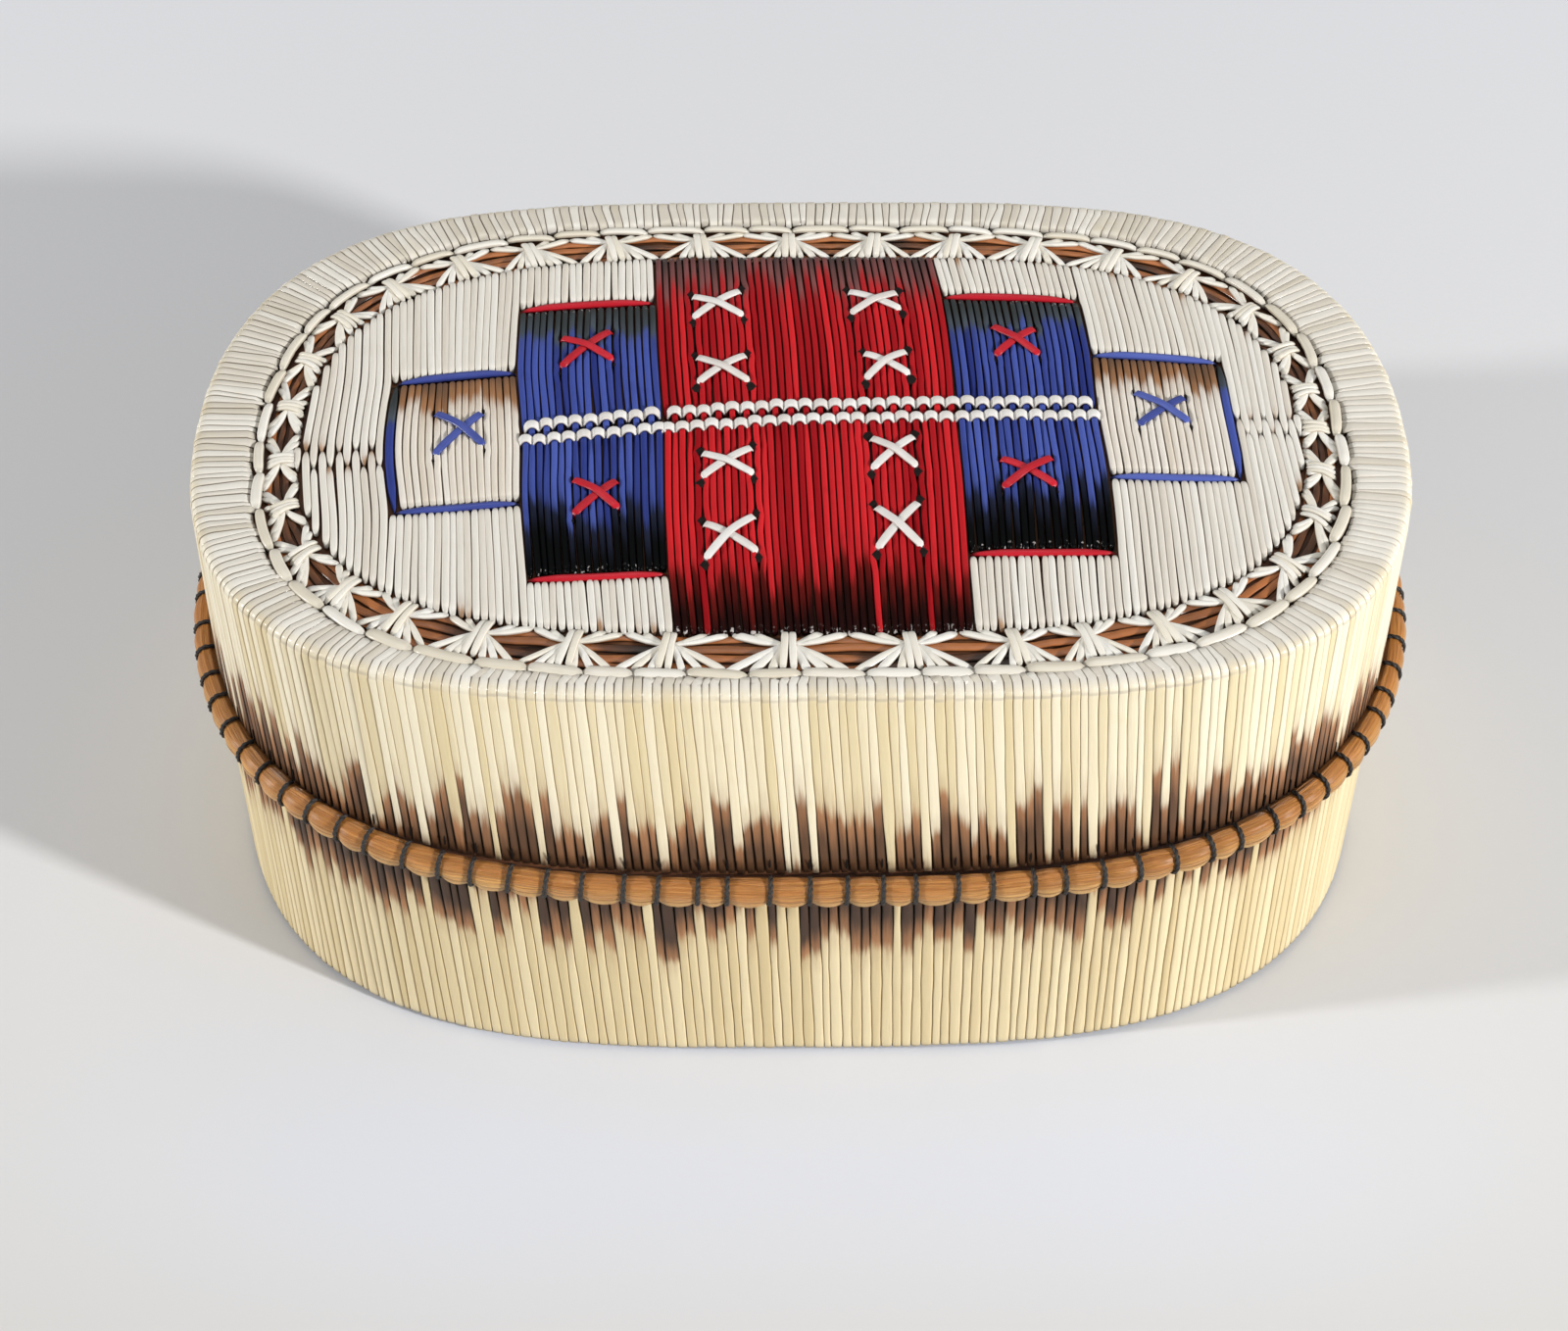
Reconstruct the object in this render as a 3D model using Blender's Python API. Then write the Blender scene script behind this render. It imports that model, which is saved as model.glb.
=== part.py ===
"""Oval box of birchbark covered with porcupine quills, with a lid that lifts off.

The base is a quilled bark wall on a bark floor, with a liner that stands up into the lid.
The lid carries a sweetgrass rim, a band of quills folded over its shoulder, a chain of laid
quills, a border of stars and a stepped panel of white, red and blue quills.
X runs along the box, Y across it, and Z up from the underside of the floor.
"""
from collections import namedtuple
from math import atan2, cos, hypot, pi, radians, sin

import bmesh
import bpy
import numpy as np
from mathutils import Vector

for item in list(bpy.data.objects):
    bpy.data.objects.remove(item, do_unlink=True)

MM = 0.001

# Driving dimensions
HALF_LENGTH = 90.0 * MM
TOP_HALF_DEPTH = 53.9 * MM
JOINT_HALF_DEPTH = 61.6 * MM
FOOT_HALF_DEPTH = 61.2 * MM
JOINT_HEIGHT = 38.5 * MM
TOP_HEIGHT = 73.0 * MM
BARK = 1.2 * MM
LINING = 0.8 * MM
QUILL = 1.0 * MM
RIB = 0.3 * MM
GAP = 0.3 * MM
SHOULDER_RADIUS = 2.4 * MM
SHOULDER_DROP = 3.6 * MM
NECK_HEIGHT = 13.5 * MM
NECK_PLAY = 0.1 * MM
RIM_HEIGHT = 4.6 * MM
RIM_STAND = 3.2 * MM
RIM_TIES = 96
WALL_STATIONS = 64
WALL_LEVELS = 3
RIBS_PER_STATION = 2

# The pattern on top, whose border sits a little towards the front
BORDER_SHIFT = -1.5 * MM
PANEL_SHIFT = 1.6 * MM
PANEL_TURN = radians(2.7)
STARS = 35
END_STAR_PITCH = 0.70
STAR_STEPS = 40
STAR_WAIST = 6
WINDOW_SHARE = 0.18
CHAIN_LINKS = 52
STAR_HUB_RISE = 1.2 * MM
CHAIN_GAUGE = 1.1 * MM
FIELD_RIB_PITCH = 2.56 * MM
LAID_QUILL = 1.0 * MM
WRAP_HALF_WIDTH = 0.95 * MM
WRAPS = 42
STITCH_GAUGE = 0.8 * MM
STITCH_THICKNESS = 0.7 * MM
STITCH_HALF_LENGTH = 3.6 * MM
STITCH_HALF_WIDTH = 3.1 * MM

Oval = namedtuple("Oval", "half_length half_depth end_power side_power shift")

FOOT = Oval(HALF_LENGTH + 0.3 * MM, FOOT_HALF_DEPTH, 3.3, 2.4, 0.0)
JOINT = Oval(HALF_LENGTH + 0.8 * MM, JOINT_HALF_DEPTH, 3.1, 2.2, 0.0)
LID_TOP = Oval(HALF_LENGTH, TOP_HALF_DEPTH, 4.0, 2.25, 0.0)


def pattern_oval(length_share, depth_share):
    """One oval of the border on top, as shares of the lid's half length and half depth."""
    return Oval(HALF_LENGTH * length_share, TOP_HALF_DEPTH * depth_share, 3.6, 2.5, BORDER_SHIFT)


BAND_EDGE = pattern_oval(0.897, 0.907)
CHAIN_LINE = pattern_oval(0.8855, 0.8895)
STAR_OUTER = pattern_oval(0.874, 0.872)
STAR_INNER = pattern_oval(0.822, 0.746)
PANEL_BOUND = pattern_oval(0.8185, 0.740)

# Steps of the panel, as shares of the lid's half length and half depth
RED_SHARE = 0.239
BLUE_SHARE = 0.470
SQUARE_SHARE = 0.684
BLUE_DEPTH_SHARE = 0.519
SQUARE_DEPTH_SHARE = 0.258
MIDLINE_SHARE = 0.011
MIDLINE_HALF_SHARE = 0.054
SEAM_SHARE = -0.050

# Heights of the layers of the lid's top
BARK_TOP = TOP_HEIGHT - QUILL - 2 * GAP
BARK_UNDER = BARK_TOP - BARK
PANEL_BASE = BARK_TOP + GAP
PANEL_TOP = TOP_HEIGHT - GAP
SHOULDER_BASE = TOP_HEIGHT - SHOULDER_DROP
WALL_TOP = TOP_HEIGHT - SHOULDER_RADIUS

box = bpy.data.collections.new("quill_box")
bpy.context.scene.collection.children.link(box)
cutters = bpy.data.collections.new("cutters")
bpy.context.scene.collection.children.link(cutters)


def material(name, color, roughness, metallic=0.0):
    mat = bpy.data.materials.new(name)
    mat.use_nodes = True
    shader = mat.node_tree.nodes["Principled BSDF"]
    shader.inputs["Base Color"].default_value = (*color, 1.0)
    shader.inputs["Roughness"].default_value = roughness
    shader.inputs["Metallic"].default_value = metallic
    return mat


def add_object(name, mesh, mat, collection=None):
    obj = bpy.data.objects.new(name, mesh)
    (collection or box).objects.link(obj)
    if mat:
        mesh.materials.append(mat)
    return obj


# Ovals

def oval_points(oval, turn):
    c, s = np.cos(turn), np.sin(turn)
    x = oval.half_length * np.sign(c) * np.abs(c) ** (2 / oval.end_power)
    y = oval.half_depth * np.sign(s) * np.abs(s) ** (2 / oval.side_power)
    return np.stack([x, y + oval.shift], axis=1)


def oval_normals(oval, turn):
    x, y = (oval_points(oval, turn) - (0.0, oval.shift)).T
    nx = np.sign(x) * np.abs(x / oval.half_length) ** (oval.end_power - 1) / oval.half_length
    ny = np.sign(y) * np.abs(y / oval.half_depth) ** (oval.side_power - 1) / oval.half_depth
    normal = np.stack([nx * oval.end_power, ny * oval.side_power], axis=1)
    return normal / np.linalg.norm(normal, axis=1, keepdims=True)


def stations(oval, count, end_pitch=1.0):
    """Turns of evenly spaced points round an oval, closer together at its ends by end_pitch."""
    fine = np.linspace(0.0, 2 * pi, 5761)
    points = oval_points(oval, fine)
    steps = np.linalg.norm(np.diff(points, axis=0), axis=1)
    across = oval_normals(oval, (fine[1:] + fine[:-1]) / 2)[:, 0] ** 2
    weight = steps / (1 + (end_pitch - 1) * across)
    run = np.concatenate([[0.0], np.cumsum(weight)])
    return np.interp(np.arange(count) * run[-1] / count, run, fine)


def inset_oval(oval, inset, count):
    """Points of an oval moved inward by inset, which may differ from point to point."""
    turn = stations(oval, count)
    return oval_points(oval, turn) - oval_normals(oval, turn) * np.reshape(inset, (-1, 1))


def wall_ring(low, high, share, inset, height, count=WALL_STATIONS):
    """A ring of a wall that changes from the low oval to the high one."""
    flat = inset_oval(low, inset, count) * (1 - share) + inset_oval(high, inset, count) * share
    return [Vector((x, y, height)) for x, y in flat]


def base_ring(height, inset, count=WALL_STATIONS):
    return wall_ring(FOOT, JOINT, height / JOINT_HEIGHT, inset, height, count)


def lid_ring(height, inset, count=WALL_STATIONS):
    share = min(1.0, (height - JOINT_HEIGHT) / (WALL_TOP - JOINT_HEIGHT))
    return wall_ring(JOINT, LID_TOP, share, inset, height, count)


def flat_ring(oval, height, inset, count=WALL_STATIONS):
    return wall_ring(oval, oval, 0.0, inset, height, count)


def levels(low, high):
    """Heights from low to high, with those that all layers of the lid's wall share between."""
    rise = (WALL_TOP - JOINT_HEIGHT) / WALL_LEVELS
    shared = [JOINT_HEIGHT + rise * i for i in range(1, WALL_LEVELS)]
    return [low] + [height for height in shared if low + GAP < height < high - GAP] + [high]


# Solids

def bridge(bm, first, second):
    """Faces between two closed rings, whose counts may differ by a whole factor."""
    if len(first) < len(second):
        first, second = second, first
    factor = len(first) // len(second)
    for i in range(len(second)):
        many = [first[(i * factor + k) % len(first)] for k in range(factor + 1)]
        bm.faces.new(many + [second[(i + 1) % len(second)], second[i]])


def loft(name, rings, mat):
    """A tube round the box: each ring is joined to the next and the last to the first."""
    bm = bmesh.new()
    loops = [[bm.verts.new(point) for point in ring] for ring in rings]
    for first, second in zip(loops, loops[1:] + loops[:1]):
        bridge(bm, first, second)
    return finished(name, bm, mat)


def finished(name, bm, mat, collection=None):
    bmesh.ops.recalc_face_normals(bm, faces=bm.faces)
    mesh = bpy.data.meshes.new(name)
    bm.to_mesh(mesh)
    bm.free()
    return add_object(name, mesh, mat, collection)


def plate(name, outline, low, high, mat, collection=None):
    """A flat solid between two heights: a filled 2D curve, made a mesh so it can be cut."""
    curve = bpy.data.curves.new(name, "CURVE")
    curve.dimensions = "2D"
    curve.fill_mode = "BOTH"
    curve.extrude = (high - low) / 2
    spline = curve.splines.new("POLY")
    spline.points.add(len(outline) - 1)
    for point, (x, y) in zip(spline.points, outline):
        point.co = (x, y, 0.0, 1.0)
    spline.use_cyclic_u = True
    drawn = bpy.data.objects.new(name, curve)
    box.objects.link(drawn)
    depsgraph = bpy.context.evaluated_depsgraph_get()
    mesh = bpy.data.meshes.new_from_object(drawn.evaluated_get(depsgraph))
    bpy.data.objects.remove(drawn, do_unlink=True)
    bpy.data.curves.remove(curve)
    bm = bmesh.new()
    bm.from_mesh(mesh)
    bpy.data.meshes.remove(mesh)
    bmesh.ops.remove_doubles(bm, verts=bm.verts, dist=GAP / 100)
    bmesh.ops.dissolve_limit(bm, angle_limit=radians(1), verts=bm.verts, edges=bm.edges)
    obj = finished(name, bm, mat, collection)
    obj.location.z = (low + high) / 2
    return obj


def disc(name, oval, inset, low, high, mat):
    return plate(name, inset_oval(oval, inset, WALL_STATIONS), low, high, mat)


def add_boolean(obj, operation, cutter):
    cut = obj.modifiers.new(operation.lower(), "BOOLEAN")
    cut.operation = operation
    cut.object = cutter


# Walls

def ribbed(count=WALL_STATIONS):
    """Insets of a quilled surface: a valley and a crest in turn."""
    return np.tile([RIB, 0.0], count * RIBS_PER_STATION)


def quill_jacket(name, ring, low, high, mat):
    inset = ribbed()
    rings = [ring(low, inset, len(inset)), ring(high, inset, len(inset))]
    rings += [ring(height, QUILL) for height in reversed(levels(low, high))]
    return loft(name, rings, mat)


def bark_wall(name, ring, low, high, depth, thickness, mat):
    heights = levels(low, high)
    rings = [ring(height, depth) for height in heights]
    rings += [ring(height, depth + thickness) for height in reversed(heights)]
    return loft(name, rings, mat)


def shoulder_band(mat):
    """Quills folded over the lid's shoulder, from the wall to the inner edge of the band."""
    inset = ribbed()
    many = len(inset)
    bend = SHOULDER_RADIUS * (1 - cos(pi / 4))
    lift = SHOULDER_RADIUS * sin(pi / 4)
    sunk = [TOP_HEIGHT - depth for depth in inset]
    crown = flat_ring(LID_TOP, TOP_HEIGHT, SHOULDER_RADIUS, many)
    inner = flat_ring(BAND_EDGE, TOP_HEIGHT, 0.0, many)
    for ring in (crown, inner):
        for point, height in zip(ring, sunk):
            point.z = height
    rings = [
        lid_ring(SHOULDER_BASE, inset, many),
        flat_ring(LID_TOP, WALL_TOP + lift, inset + bend, many),
        crown,
        inner,
        flat_ring(BAND_EDGE, PANEL_BASE, 0.0),
        flat_ring(LID_TOP, PANEL_BASE, QUILL),
        lid_ring(SHOULDER_BASE, QUILL),
    ]
    return loft("lid_edge_quills", rings, mat)


def liner(mat):
    """The bark liner inside the base, drawn in above the joint to stand up into the lid."""
    depth = QUILL + BARK + 2 * GAP
    low = BARK + GAP
    neck = levels(JOINT_HEIGHT + GAP, JOINT_HEIGHT + NECK_HEIGHT)
    rings = [base_ring(low, depth), base_ring(JOINT_HEIGHT, depth)]
    rings += [lid_ring(height, depth + NECK_PLAY) for height in neck]
    rings += [lid_ring(height, depth + NECK_PLAY + BARK) for height in reversed(neck)]
    rings += [base_ring(JOINT_HEIGHT, depth + NECK_PLAY + BARK), base_ring(low, depth + BARK)]
    return loft("base_liner", rings, mat)


def section_tube(name, sections, mat):
    """A closed loop of cross-sections: the same corner of each section forms one ring."""
    return loft(name, [list(ring) for ring in zip(*sections)], mat)


def sweetgrass_rim(mat):
    """A bundle of grass round the lid's lower edge, drawn in where the thread binds it."""
    turn = stations(JOINT, RIM_TIES * 2)
    centre = oval_points(JOINT, turn)
    normal = oval_normals(JOINT, turn)
    back = QUILL - GAP / 5
    middle = JOINT_HEIGHT + GAP + RIM_HEIGHT / 2
    sections = []
    for i in range(len(turn)):
        swell = 1.0 if i % 2 else 0.86
        reach = (RIM_STAND + back) * swell - back
        half = RIM_HEIGHT / 2 * swell
        corners = [(-back, -0.55), (-back, 0.55), (0.15 * reach, 1.0), (reach, 0.45), (reach, -0.45), (0.15 * reach, -1.0)]
        sections.append([
            Vector((*(centre[i] + normal[i] * out), middle + half * up)) for out, up in corners
        ])
    return section_tube("rim_sweetgrass", sections, mat)


# Border of the top

def laid_chain(mat):
    """Quills laid end to end along the band, each dipping under the bark at its ends."""
    turn = stations(CHAIN_LINE, CHAIN_LINKS * 3)
    centre = oval_points(CHAIN_LINE, turn)
    normal = oval_normals(CHAIN_LINE, turn)
    sections = []
    for i in range(len(turn)):
        half = CHAIN_GAUGE / 2 * (0.5 if i % 3 == 0 else 1.0)
        rise = CHAIN_GAUGE * (0.6 if i % 3 == 0 else 1.2)
        corners = [(-half, 0.0), (-0.6 * half, rise), (0.6 * half, rise), (half, 0.0)]
        sections.append([Vector((*(centre[i] + normal[i] * out), PANEL_BASE + up)) for out, up in corners])
    return section_tube("laid_quill_chain", sections, mat)


def border_point(turn, share, height):
    """A point between the border's inner and outer ovals, at a share of the way out."""
    inner = oval_points(STAR_INNER, np.array([turn]))[0]
    outer = oval_points(STAR_OUTER, np.array([turn]))[0]
    return Vector((*(inner * (1 - share) + outer * share), height))


def star_cell(bm, turns, height, rise):
    """Corners of one star and of the diamond window between it and the next star."""
    hub = height + rise * (QUILL + STAR_HUB_RISE)
    low = height + rise * QUILL
    half_up = (hub + low) / 2
    turn, ahead, middle, next_back = turns
    spots = {
        "hub": border_point(turn, 0.5, hub),
        "inner": border_point(turn, 0.0, low),
        "outer": border_point(turn, 1.0, low),
        "ahead": border_point(ahead, 0.5, half_up),
        "next_back": border_point(next_back, 0.5, half_up),
        "tip_in": border_point(middle, 0.0, low),
        "tip_out": border_point(middle, 1.0, low),
        "window_in": border_point(middle, WINDOW_SHARE, low),
        "window_out": border_point(middle, 1 - WINDOW_SHARE, low),
    }
    return {key: bm.verts.new(spot) for key, spot in spots.items()}


def star_faces(bm, cells):
    """The four leaves of every star, between its hub, its tips and the windows beside it."""
    for i, cell in enumerate(cells):
        last = cells[i - 1]
        for leaf in (
            (cell["hub"], cell["inner"], cell["tip_in"], cell["window_in"], cell["ahead"]),
            (cell["hub"], cell["ahead"], cell["window_out"], cell["tip_out"], cell["outer"]),
            (cell["hub"], last["next_back"], last["window_in"], last["tip_in"], cell["inner"]),
            (cell["hub"], cell["outer"], last["tip_out"], last["window_out"], last["next_back"]),
        ):
            bm.faces.new(leaf)


def star_border(mat):
    """A pierced ring of stars that meet tip to tip, with a diamond window between each two."""
    fine = stations(STAR_OUTER, STARS * STAR_STEPS, END_STAR_PITCH).reshape(STARS, STAR_STEPS)
    marks = [0, STAR_WAIST, STAR_STEPS // 2, STAR_STEPS - STAR_WAIST]
    bm = bmesh.new()
    top = [star_cell(bm, turns, PANEL_BASE, 1.0) for turns in fine[:, marks]]
    low = [star_cell(bm, turns, PANEL_BASE, 0.0) for turns in fine[:, marks]]
    star_faces(bm, top)
    star_faces(bm, low)
    for i in range(len(top)):
        after = (i + 1) % len(top)
        for chain in (
            ((i, "inner"), (i, "tip_in"), (after, "inner")),
            ((i, "outer"), (i, "tip_out"), (after, "outer")),
            ((i, "ahead"), (i, "window_out"), (i, "next_back"), (i, "window_in"), (i, "ahead")),
        ):
            for (a, key_a), (b, key_b) in zip(chain, chain[1:]):
                bm.faces.new((top[a][key_a], top[b][key_b], low[b][key_b], low[a][key_a]))
    return finished("star_border", bm, mat)


# Panel

def along(share):
    return HALF_LENGTH * share


def across(share):
    return TOP_HALF_DEPTH * share


def place_on_panel(obj):
    obj.parent = panel
    return obj


def rib_profile(left, right, low, high):
    """Outline of a row of quills seen from their ends: X is across them and Y is up."""
    count = max(2, round((right - left) / FIELD_RIB_PITCH))
    points = [(left, low)]
    for i in range(2 * count + 1):
        points.append((left + (right - left) * i / (2 * count), high - (0.0 if i % 2 else RIB)))
    return points + [(right, low)]


def quill_field(name, left, right, front, back, mat):
    """A flat field of quills that run across the box, ribbed on top."""
    obj = plate(name, rib_profile(left, right, PANEL_BASE, PANEL_TOP), front, back, mat)
    obj.rotation_euler.x = pi / 2
    obj.location = (0.0, (front + back) / 2, 0.0)
    return place_on_panel(obj)


def laid_quill(name, left, right, front, back, mat):
    """One quill laid along the edge of a field: a bar with a rounded back."""
    lengthwise = right - left > back - front
    half = (back - front if lengthwise else right - left) / 2
    rise = PANEL_TOP - PANEL_BASE + GAP
    profile = [(-half, 0.0), (half, 0.0), (half, 0.45 * rise), (0.45 * half, rise), (-0.45 * half, rise), (-half, 0.45 * rise)]
    reach = (right - left if lengthwise else back - front) / 2
    obj = plate(name, profile, -reach, reach, mat)
    obj.rotation_euler = (pi / 2, 0.0, pi / 2 if lengthwise else 0.0)
    obj.location = ((left + right) / 2, (front + back) / 2, PANEL_BASE)
    return place_on_panel(obj)


def wrap_row(name, centre, mat):
    """A row of small wraps over the ends of the coloured quills: a bar with a bead for each."""
    half = along(BLUE_SHARE)
    points = [(-half, PANEL_BASE)]
    for i in range(2 * WRAPS + 1):
        rise = 1.35 * (PANEL_TOP - PANEL_BASE) if i % 2 else PANEL_TOP - PANEL_BASE
        points.append((half * (i / WRAPS - 1), PANEL_BASE + rise))
    points.append((half, PANEL_BASE))
    obj = plate(name, points, -WRAP_HALF_WIDTH, WRAP_HALF_WIDTH, mat)
    obj.rotation_euler.x = pi / 2
    obj.location = (0.0, centre, 0.0)
    return place_on_panel(obj)


def cross_stitch(name, x, y, mat):
    """Two quills crossed over a field, as one flat X."""
    slope = atan2(STITCH_HALF_WIDTH, STITCH_HALF_LENGTH)
    reach = hypot(STITCH_HALF_LENGTH, STITCH_HALF_WIDTH)
    half = STITCH_GAUGE / 2
    low_corner = (reach * cos(slope) + half * sin(slope), reach * sin(slope) - half * cos(slope))
    high_corner = (reach * cos(slope) - half * sin(slope), reach * sin(slope) + half * cos(slope))
    right = [(half / sin(slope), 0.0), low_corner, high_corner]
    left = [(0.0, half / cos(slope))] + [(-px, py) for px, py in (high_corner, low_corner)]
    upper = right + left
    outline = upper + [(-px, -py) for px, py in upper]
    obj = plate(name, outline, -STITCH_THICKNESS / 2, STITCH_THICKNESS / 2, mat)
    obj.location = (x, y, PANEL_TOP + GAP + STITCH_THICKNESS / 2)
    return place_on_panel(obj)


def panel_cutters():
    """The oval that bounds the panel, and the stepped cross that the white fields leave free."""
    oval = oval_points(PANEL_BOUND, stations(PANEL_BOUND, WALL_STATIONS))
    bound = plate("panel_bound", oval, PANEL_BASE - QUILL, TOP_HEIGHT + QUILL, None, cutters)
    edge = LAID_QUILL + 2 * GAP
    steps = [
        (along(SQUARE_SHARE) + edge, across(SQUARE_DEPTH_SHARE) + edge),
        (along(BLUE_SHARE) + GAP, across(BLUE_DEPTH_SHARE) + edge),
    ]
    quarter = [(steps[0][0], steps[0][1]), (steps[1][0], steps[0][1]), (steps[1][0], steps[1][1])]
    outline = quarter + [(-x, y) for x, y in reversed(quarter)]
    outline += [(-x, -y) for x, y in quarter] + [(x, -y) for x, y in reversed(quarter)]
    cross = plate("stepped_cross", outline, PANEL_BASE - QUILL, TOP_HEIGHT + QUILL, None, cutters)
    cross.parent = panel
    for cutter in (bound, cross):
        cutter.hide_render = True
        cutter.display_type = "WIRE"
    return bound, cross


def coloured_fields(bound):
    far = TOP_HALF_DEPTH
    back = across(MIDLINE_SHARE + MIDLINE_HALF_SHARE)
    front = across(MIDLINE_SHARE - MIDLINE_HALF_SHARE)
    red = along(RED_SHARE)
    for name, low, high in (("red_field_back", back, far), ("red_field_front", -far, front)):
        field = quill_field(name, -red, red, low, high, finish["quill_red"])
        add_boolean(field, "INTERSECT", bound)
    depth = across(BLUE_DEPTH_SHARE)
    for side, left, right in (("left", -along(BLUE_SHARE), -red - GAP), ("right", red + GAP, along(BLUE_SHARE))):
        quill_field("blue_field_back_" + side, left, right, back, depth, finish["quill_blue"])
        quill_field("blue_field_front_" + side, left, right, -depth, front, finish["quill_blue"])
        edge = depth + GAP
        laid_quill("red_laid_quill_back_" + side, left, right, edge, edge + LAID_QUILL, finish["quill_red"])
        laid_quill("red_laid_quill_front_" + side, left, right, -edge - LAID_QUILL, -edge, finish["quill_red"])


def end_squares():
    depth = across(SQUARE_DEPTH_SHARE)
    edge = depth + GAP
    inner = along(BLUE_SHARE) + GAP
    outer = along(SQUARE_SHARE)
    for side, sign in (("left", -1), ("right", 1)):
        left, right = sorted((sign * inner, sign * outer))
        quill_field("end_square_" + side, left, right, -depth, depth, finish["quill_natural"])
        laid_quill("blue_laid_quill_back_" + side, left, right, edge, edge + LAID_QUILL, finish["quill_blue"])
        laid_quill("blue_laid_quill_front_" + side, left, right, -edge - LAID_QUILL, -edge, finish["quill_blue"])
        left, right = sorted((sign * (outer + GAP), sign * (outer + GAP + LAID_QUILL)))
        reach = edge + LAID_QUILL
        laid_quill("blue_laid_quill_end_" + side, left, right, -reach, reach, finish["quill_blue"])


def white_fields(bound, cross):
    far = TOP_HALF_DEPTH
    seam = across(SEAM_SHARE)
    for row, low, high in (("back", seam + GAP / 2, far), ("front", -far, seam - GAP / 2)):
        for side, sign in (("left", -1), ("right", 1)):
            left, right = sorted((sign * (along(RED_SHARE) + GAP), sign * HALF_LENGTH))
            field = quill_field("white_field_" + row + "_" + side, left, right, low, high, finish["quill_white"])
            add_boolean(field, "DIFFERENCE", cross)
            add_boolean(field, "INTERSECT", bound)


def stitches():
    """White crosses on the red, red ones on the blue and one blue one on each end square."""
    for column, x in (("left", -0.137), ("right", 0.137)):
        for row, y in (("back_outer", 0.525), ("back_inner", 0.247), ("front_inner", -0.121), ("front_outer", -0.414)):
            cross_stitch("white_stitch_" + row + "_" + column, along(x), across(y), finish["stitch_white"])
    for column, x in (("left", -0.358), ("right", 0.358)):
        for row, y in (("back", 0.345), ("front", -0.226)):
            cross_stitch("red_stitch_" + row + "_" + column, along(x), across(y), finish["quill_red"])
    for column, x in (("left", -0.579), ("right", 0.579)):
        cross_stitch("blue_stitch_" + column, along(x), across(0.030), finish["quill_blue"])


finish = {
    "birchbark": material("birchbark", (0.22, 0.10, 0.045), 0.7),
    "bark_lining": material("bark_lining", (0.42, 0.26, 0.14), 0.75),
    "quill_base": material("quill_base", (0.74, 0.66, 0.45), 0.35),
    "quill_lid": material("quill_lid", (0.82, 0.76, 0.58), 0.35),
    "quill_band": material("quill_band", (0.84, 0.79, 0.66), 0.32),
    "quill_white": material("quill_white", (0.83, 0.80, 0.73), 0.35),
    "quill_natural": material("quill_natural", (0.78, 0.71, 0.60), 0.35),
    "stitch_white": material("stitch_white", (0.85, 0.83, 0.78), 0.35),
    "quill_red": material("quill_red", (0.48, 0.012, 0.02), 0.35),
    "quill_blue": material("quill_blue", (0.06, 0.08, 0.38), 0.35),
    "sweetgrass": material("sweetgrass", (0.45, 0.20, 0.07), 0.6),
}


def build_base():
    low = BARK + GAP
    disc("base_floor", FOOT, QUILL + GAP, 0.0, BARK, finish["birchbark"])
    depth = QUILL + 2 * BARK + 3 * GAP
    disc("base_floor_lining", FOOT, depth, low, low + LINING, finish["bark_lining"])
    bark_wall("base_wall_bark", base_ring, low, JOINT_HEIGHT - GAP / 2, QUILL + GAP, BARK, finish["birchbark"])
    quill_jacket("base_quills", base_ring, GAP, JOINT_HEIGHT - GAP / 2, finish["quill_base"])
    liner(finish["bark_lining"])


def build_lid():
    wall_top = BARK_UNDER - GAP
    depth = QUILL + BARK + 2 * GAP
    rim_top = JOINT_HEIGHT + RIM_HEIGHT + 2 * GAP
    lining_low = JOINT_HEIGHT + NECK_HEIGHT + 2 * GAP
    lining_high = wall_top - LINING - GAP
    pieces = [
        bark_wall("lid_wall_bark", lid_ring, JOINT_HEIGHT + GAP / 2, wall_top, QUILL + GAP, BARK, finish["birchbark"]),
        bark_wall("lid_wall_lining", lid_ring, lining_low, lining_high, depth, LINING, finish["bark_lining"]),
        disc("lid_top_bark", LID_TOP, QUILL + GAP, BARK_UNDER, BARK_TOP, finish["birchbark"]),
        disc("lid_top_lining", LID_TOP, depth, wall_top - LINING, wall_top, finish["bark_lining"]),
        quill_jacket("lid_side_quills", lid_ring, rim_top, SHOULDER_BASE - GAP, finish["quill_lid"]),
        shoulder_band(finish["quill_band"]),
        sweetgrass_rim(finish["sweetgrass"]),
        laid_chain(finish["quill_white"]),
        star_border(finish["quill_white"]),
    ]
    for piece in pieces:
        piece.parent = lid
        piece.matrix_parent_inverse = lid.matrix_world.inverted()


def build_panel():
    bound, cross = panel_cutters()
    coloured_fields(bound)
    end_squares()
    white_fields(bound, cross)
    middle = across(MIDLINE_SHARE)
    half = across(MIDLINE_HALF_SHARE) - GAP - WRAP_HALF_WIDTH
    wrap_row("white_wraps_back", middle + half, finish["stitch_white"])
    wrap_row("white_wraps_front", middle - half, finish["stitch_white"])
    stitches()


# The lid lifts off along Z, and the panel is turned a little on it.
lid = bpy.data.objects.new("lid", None)
lid.location = (0.0, 0.0, JOINT_HEIGHT)
box.objects.link(lid)
panel = bpy.data.objects.new("panel", None)
panel.parent = lid
panel.location = (PANEL_SHIFT, 0.0, -JOINT_HEIGHT)
panel.rotation_euler.z = PANEL_TURN
box.objects.link(panel)
bpy.context.view_layer.update()

build_base()
build_lid()
build_panel()
bpy.context.view_layer.update()
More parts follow.
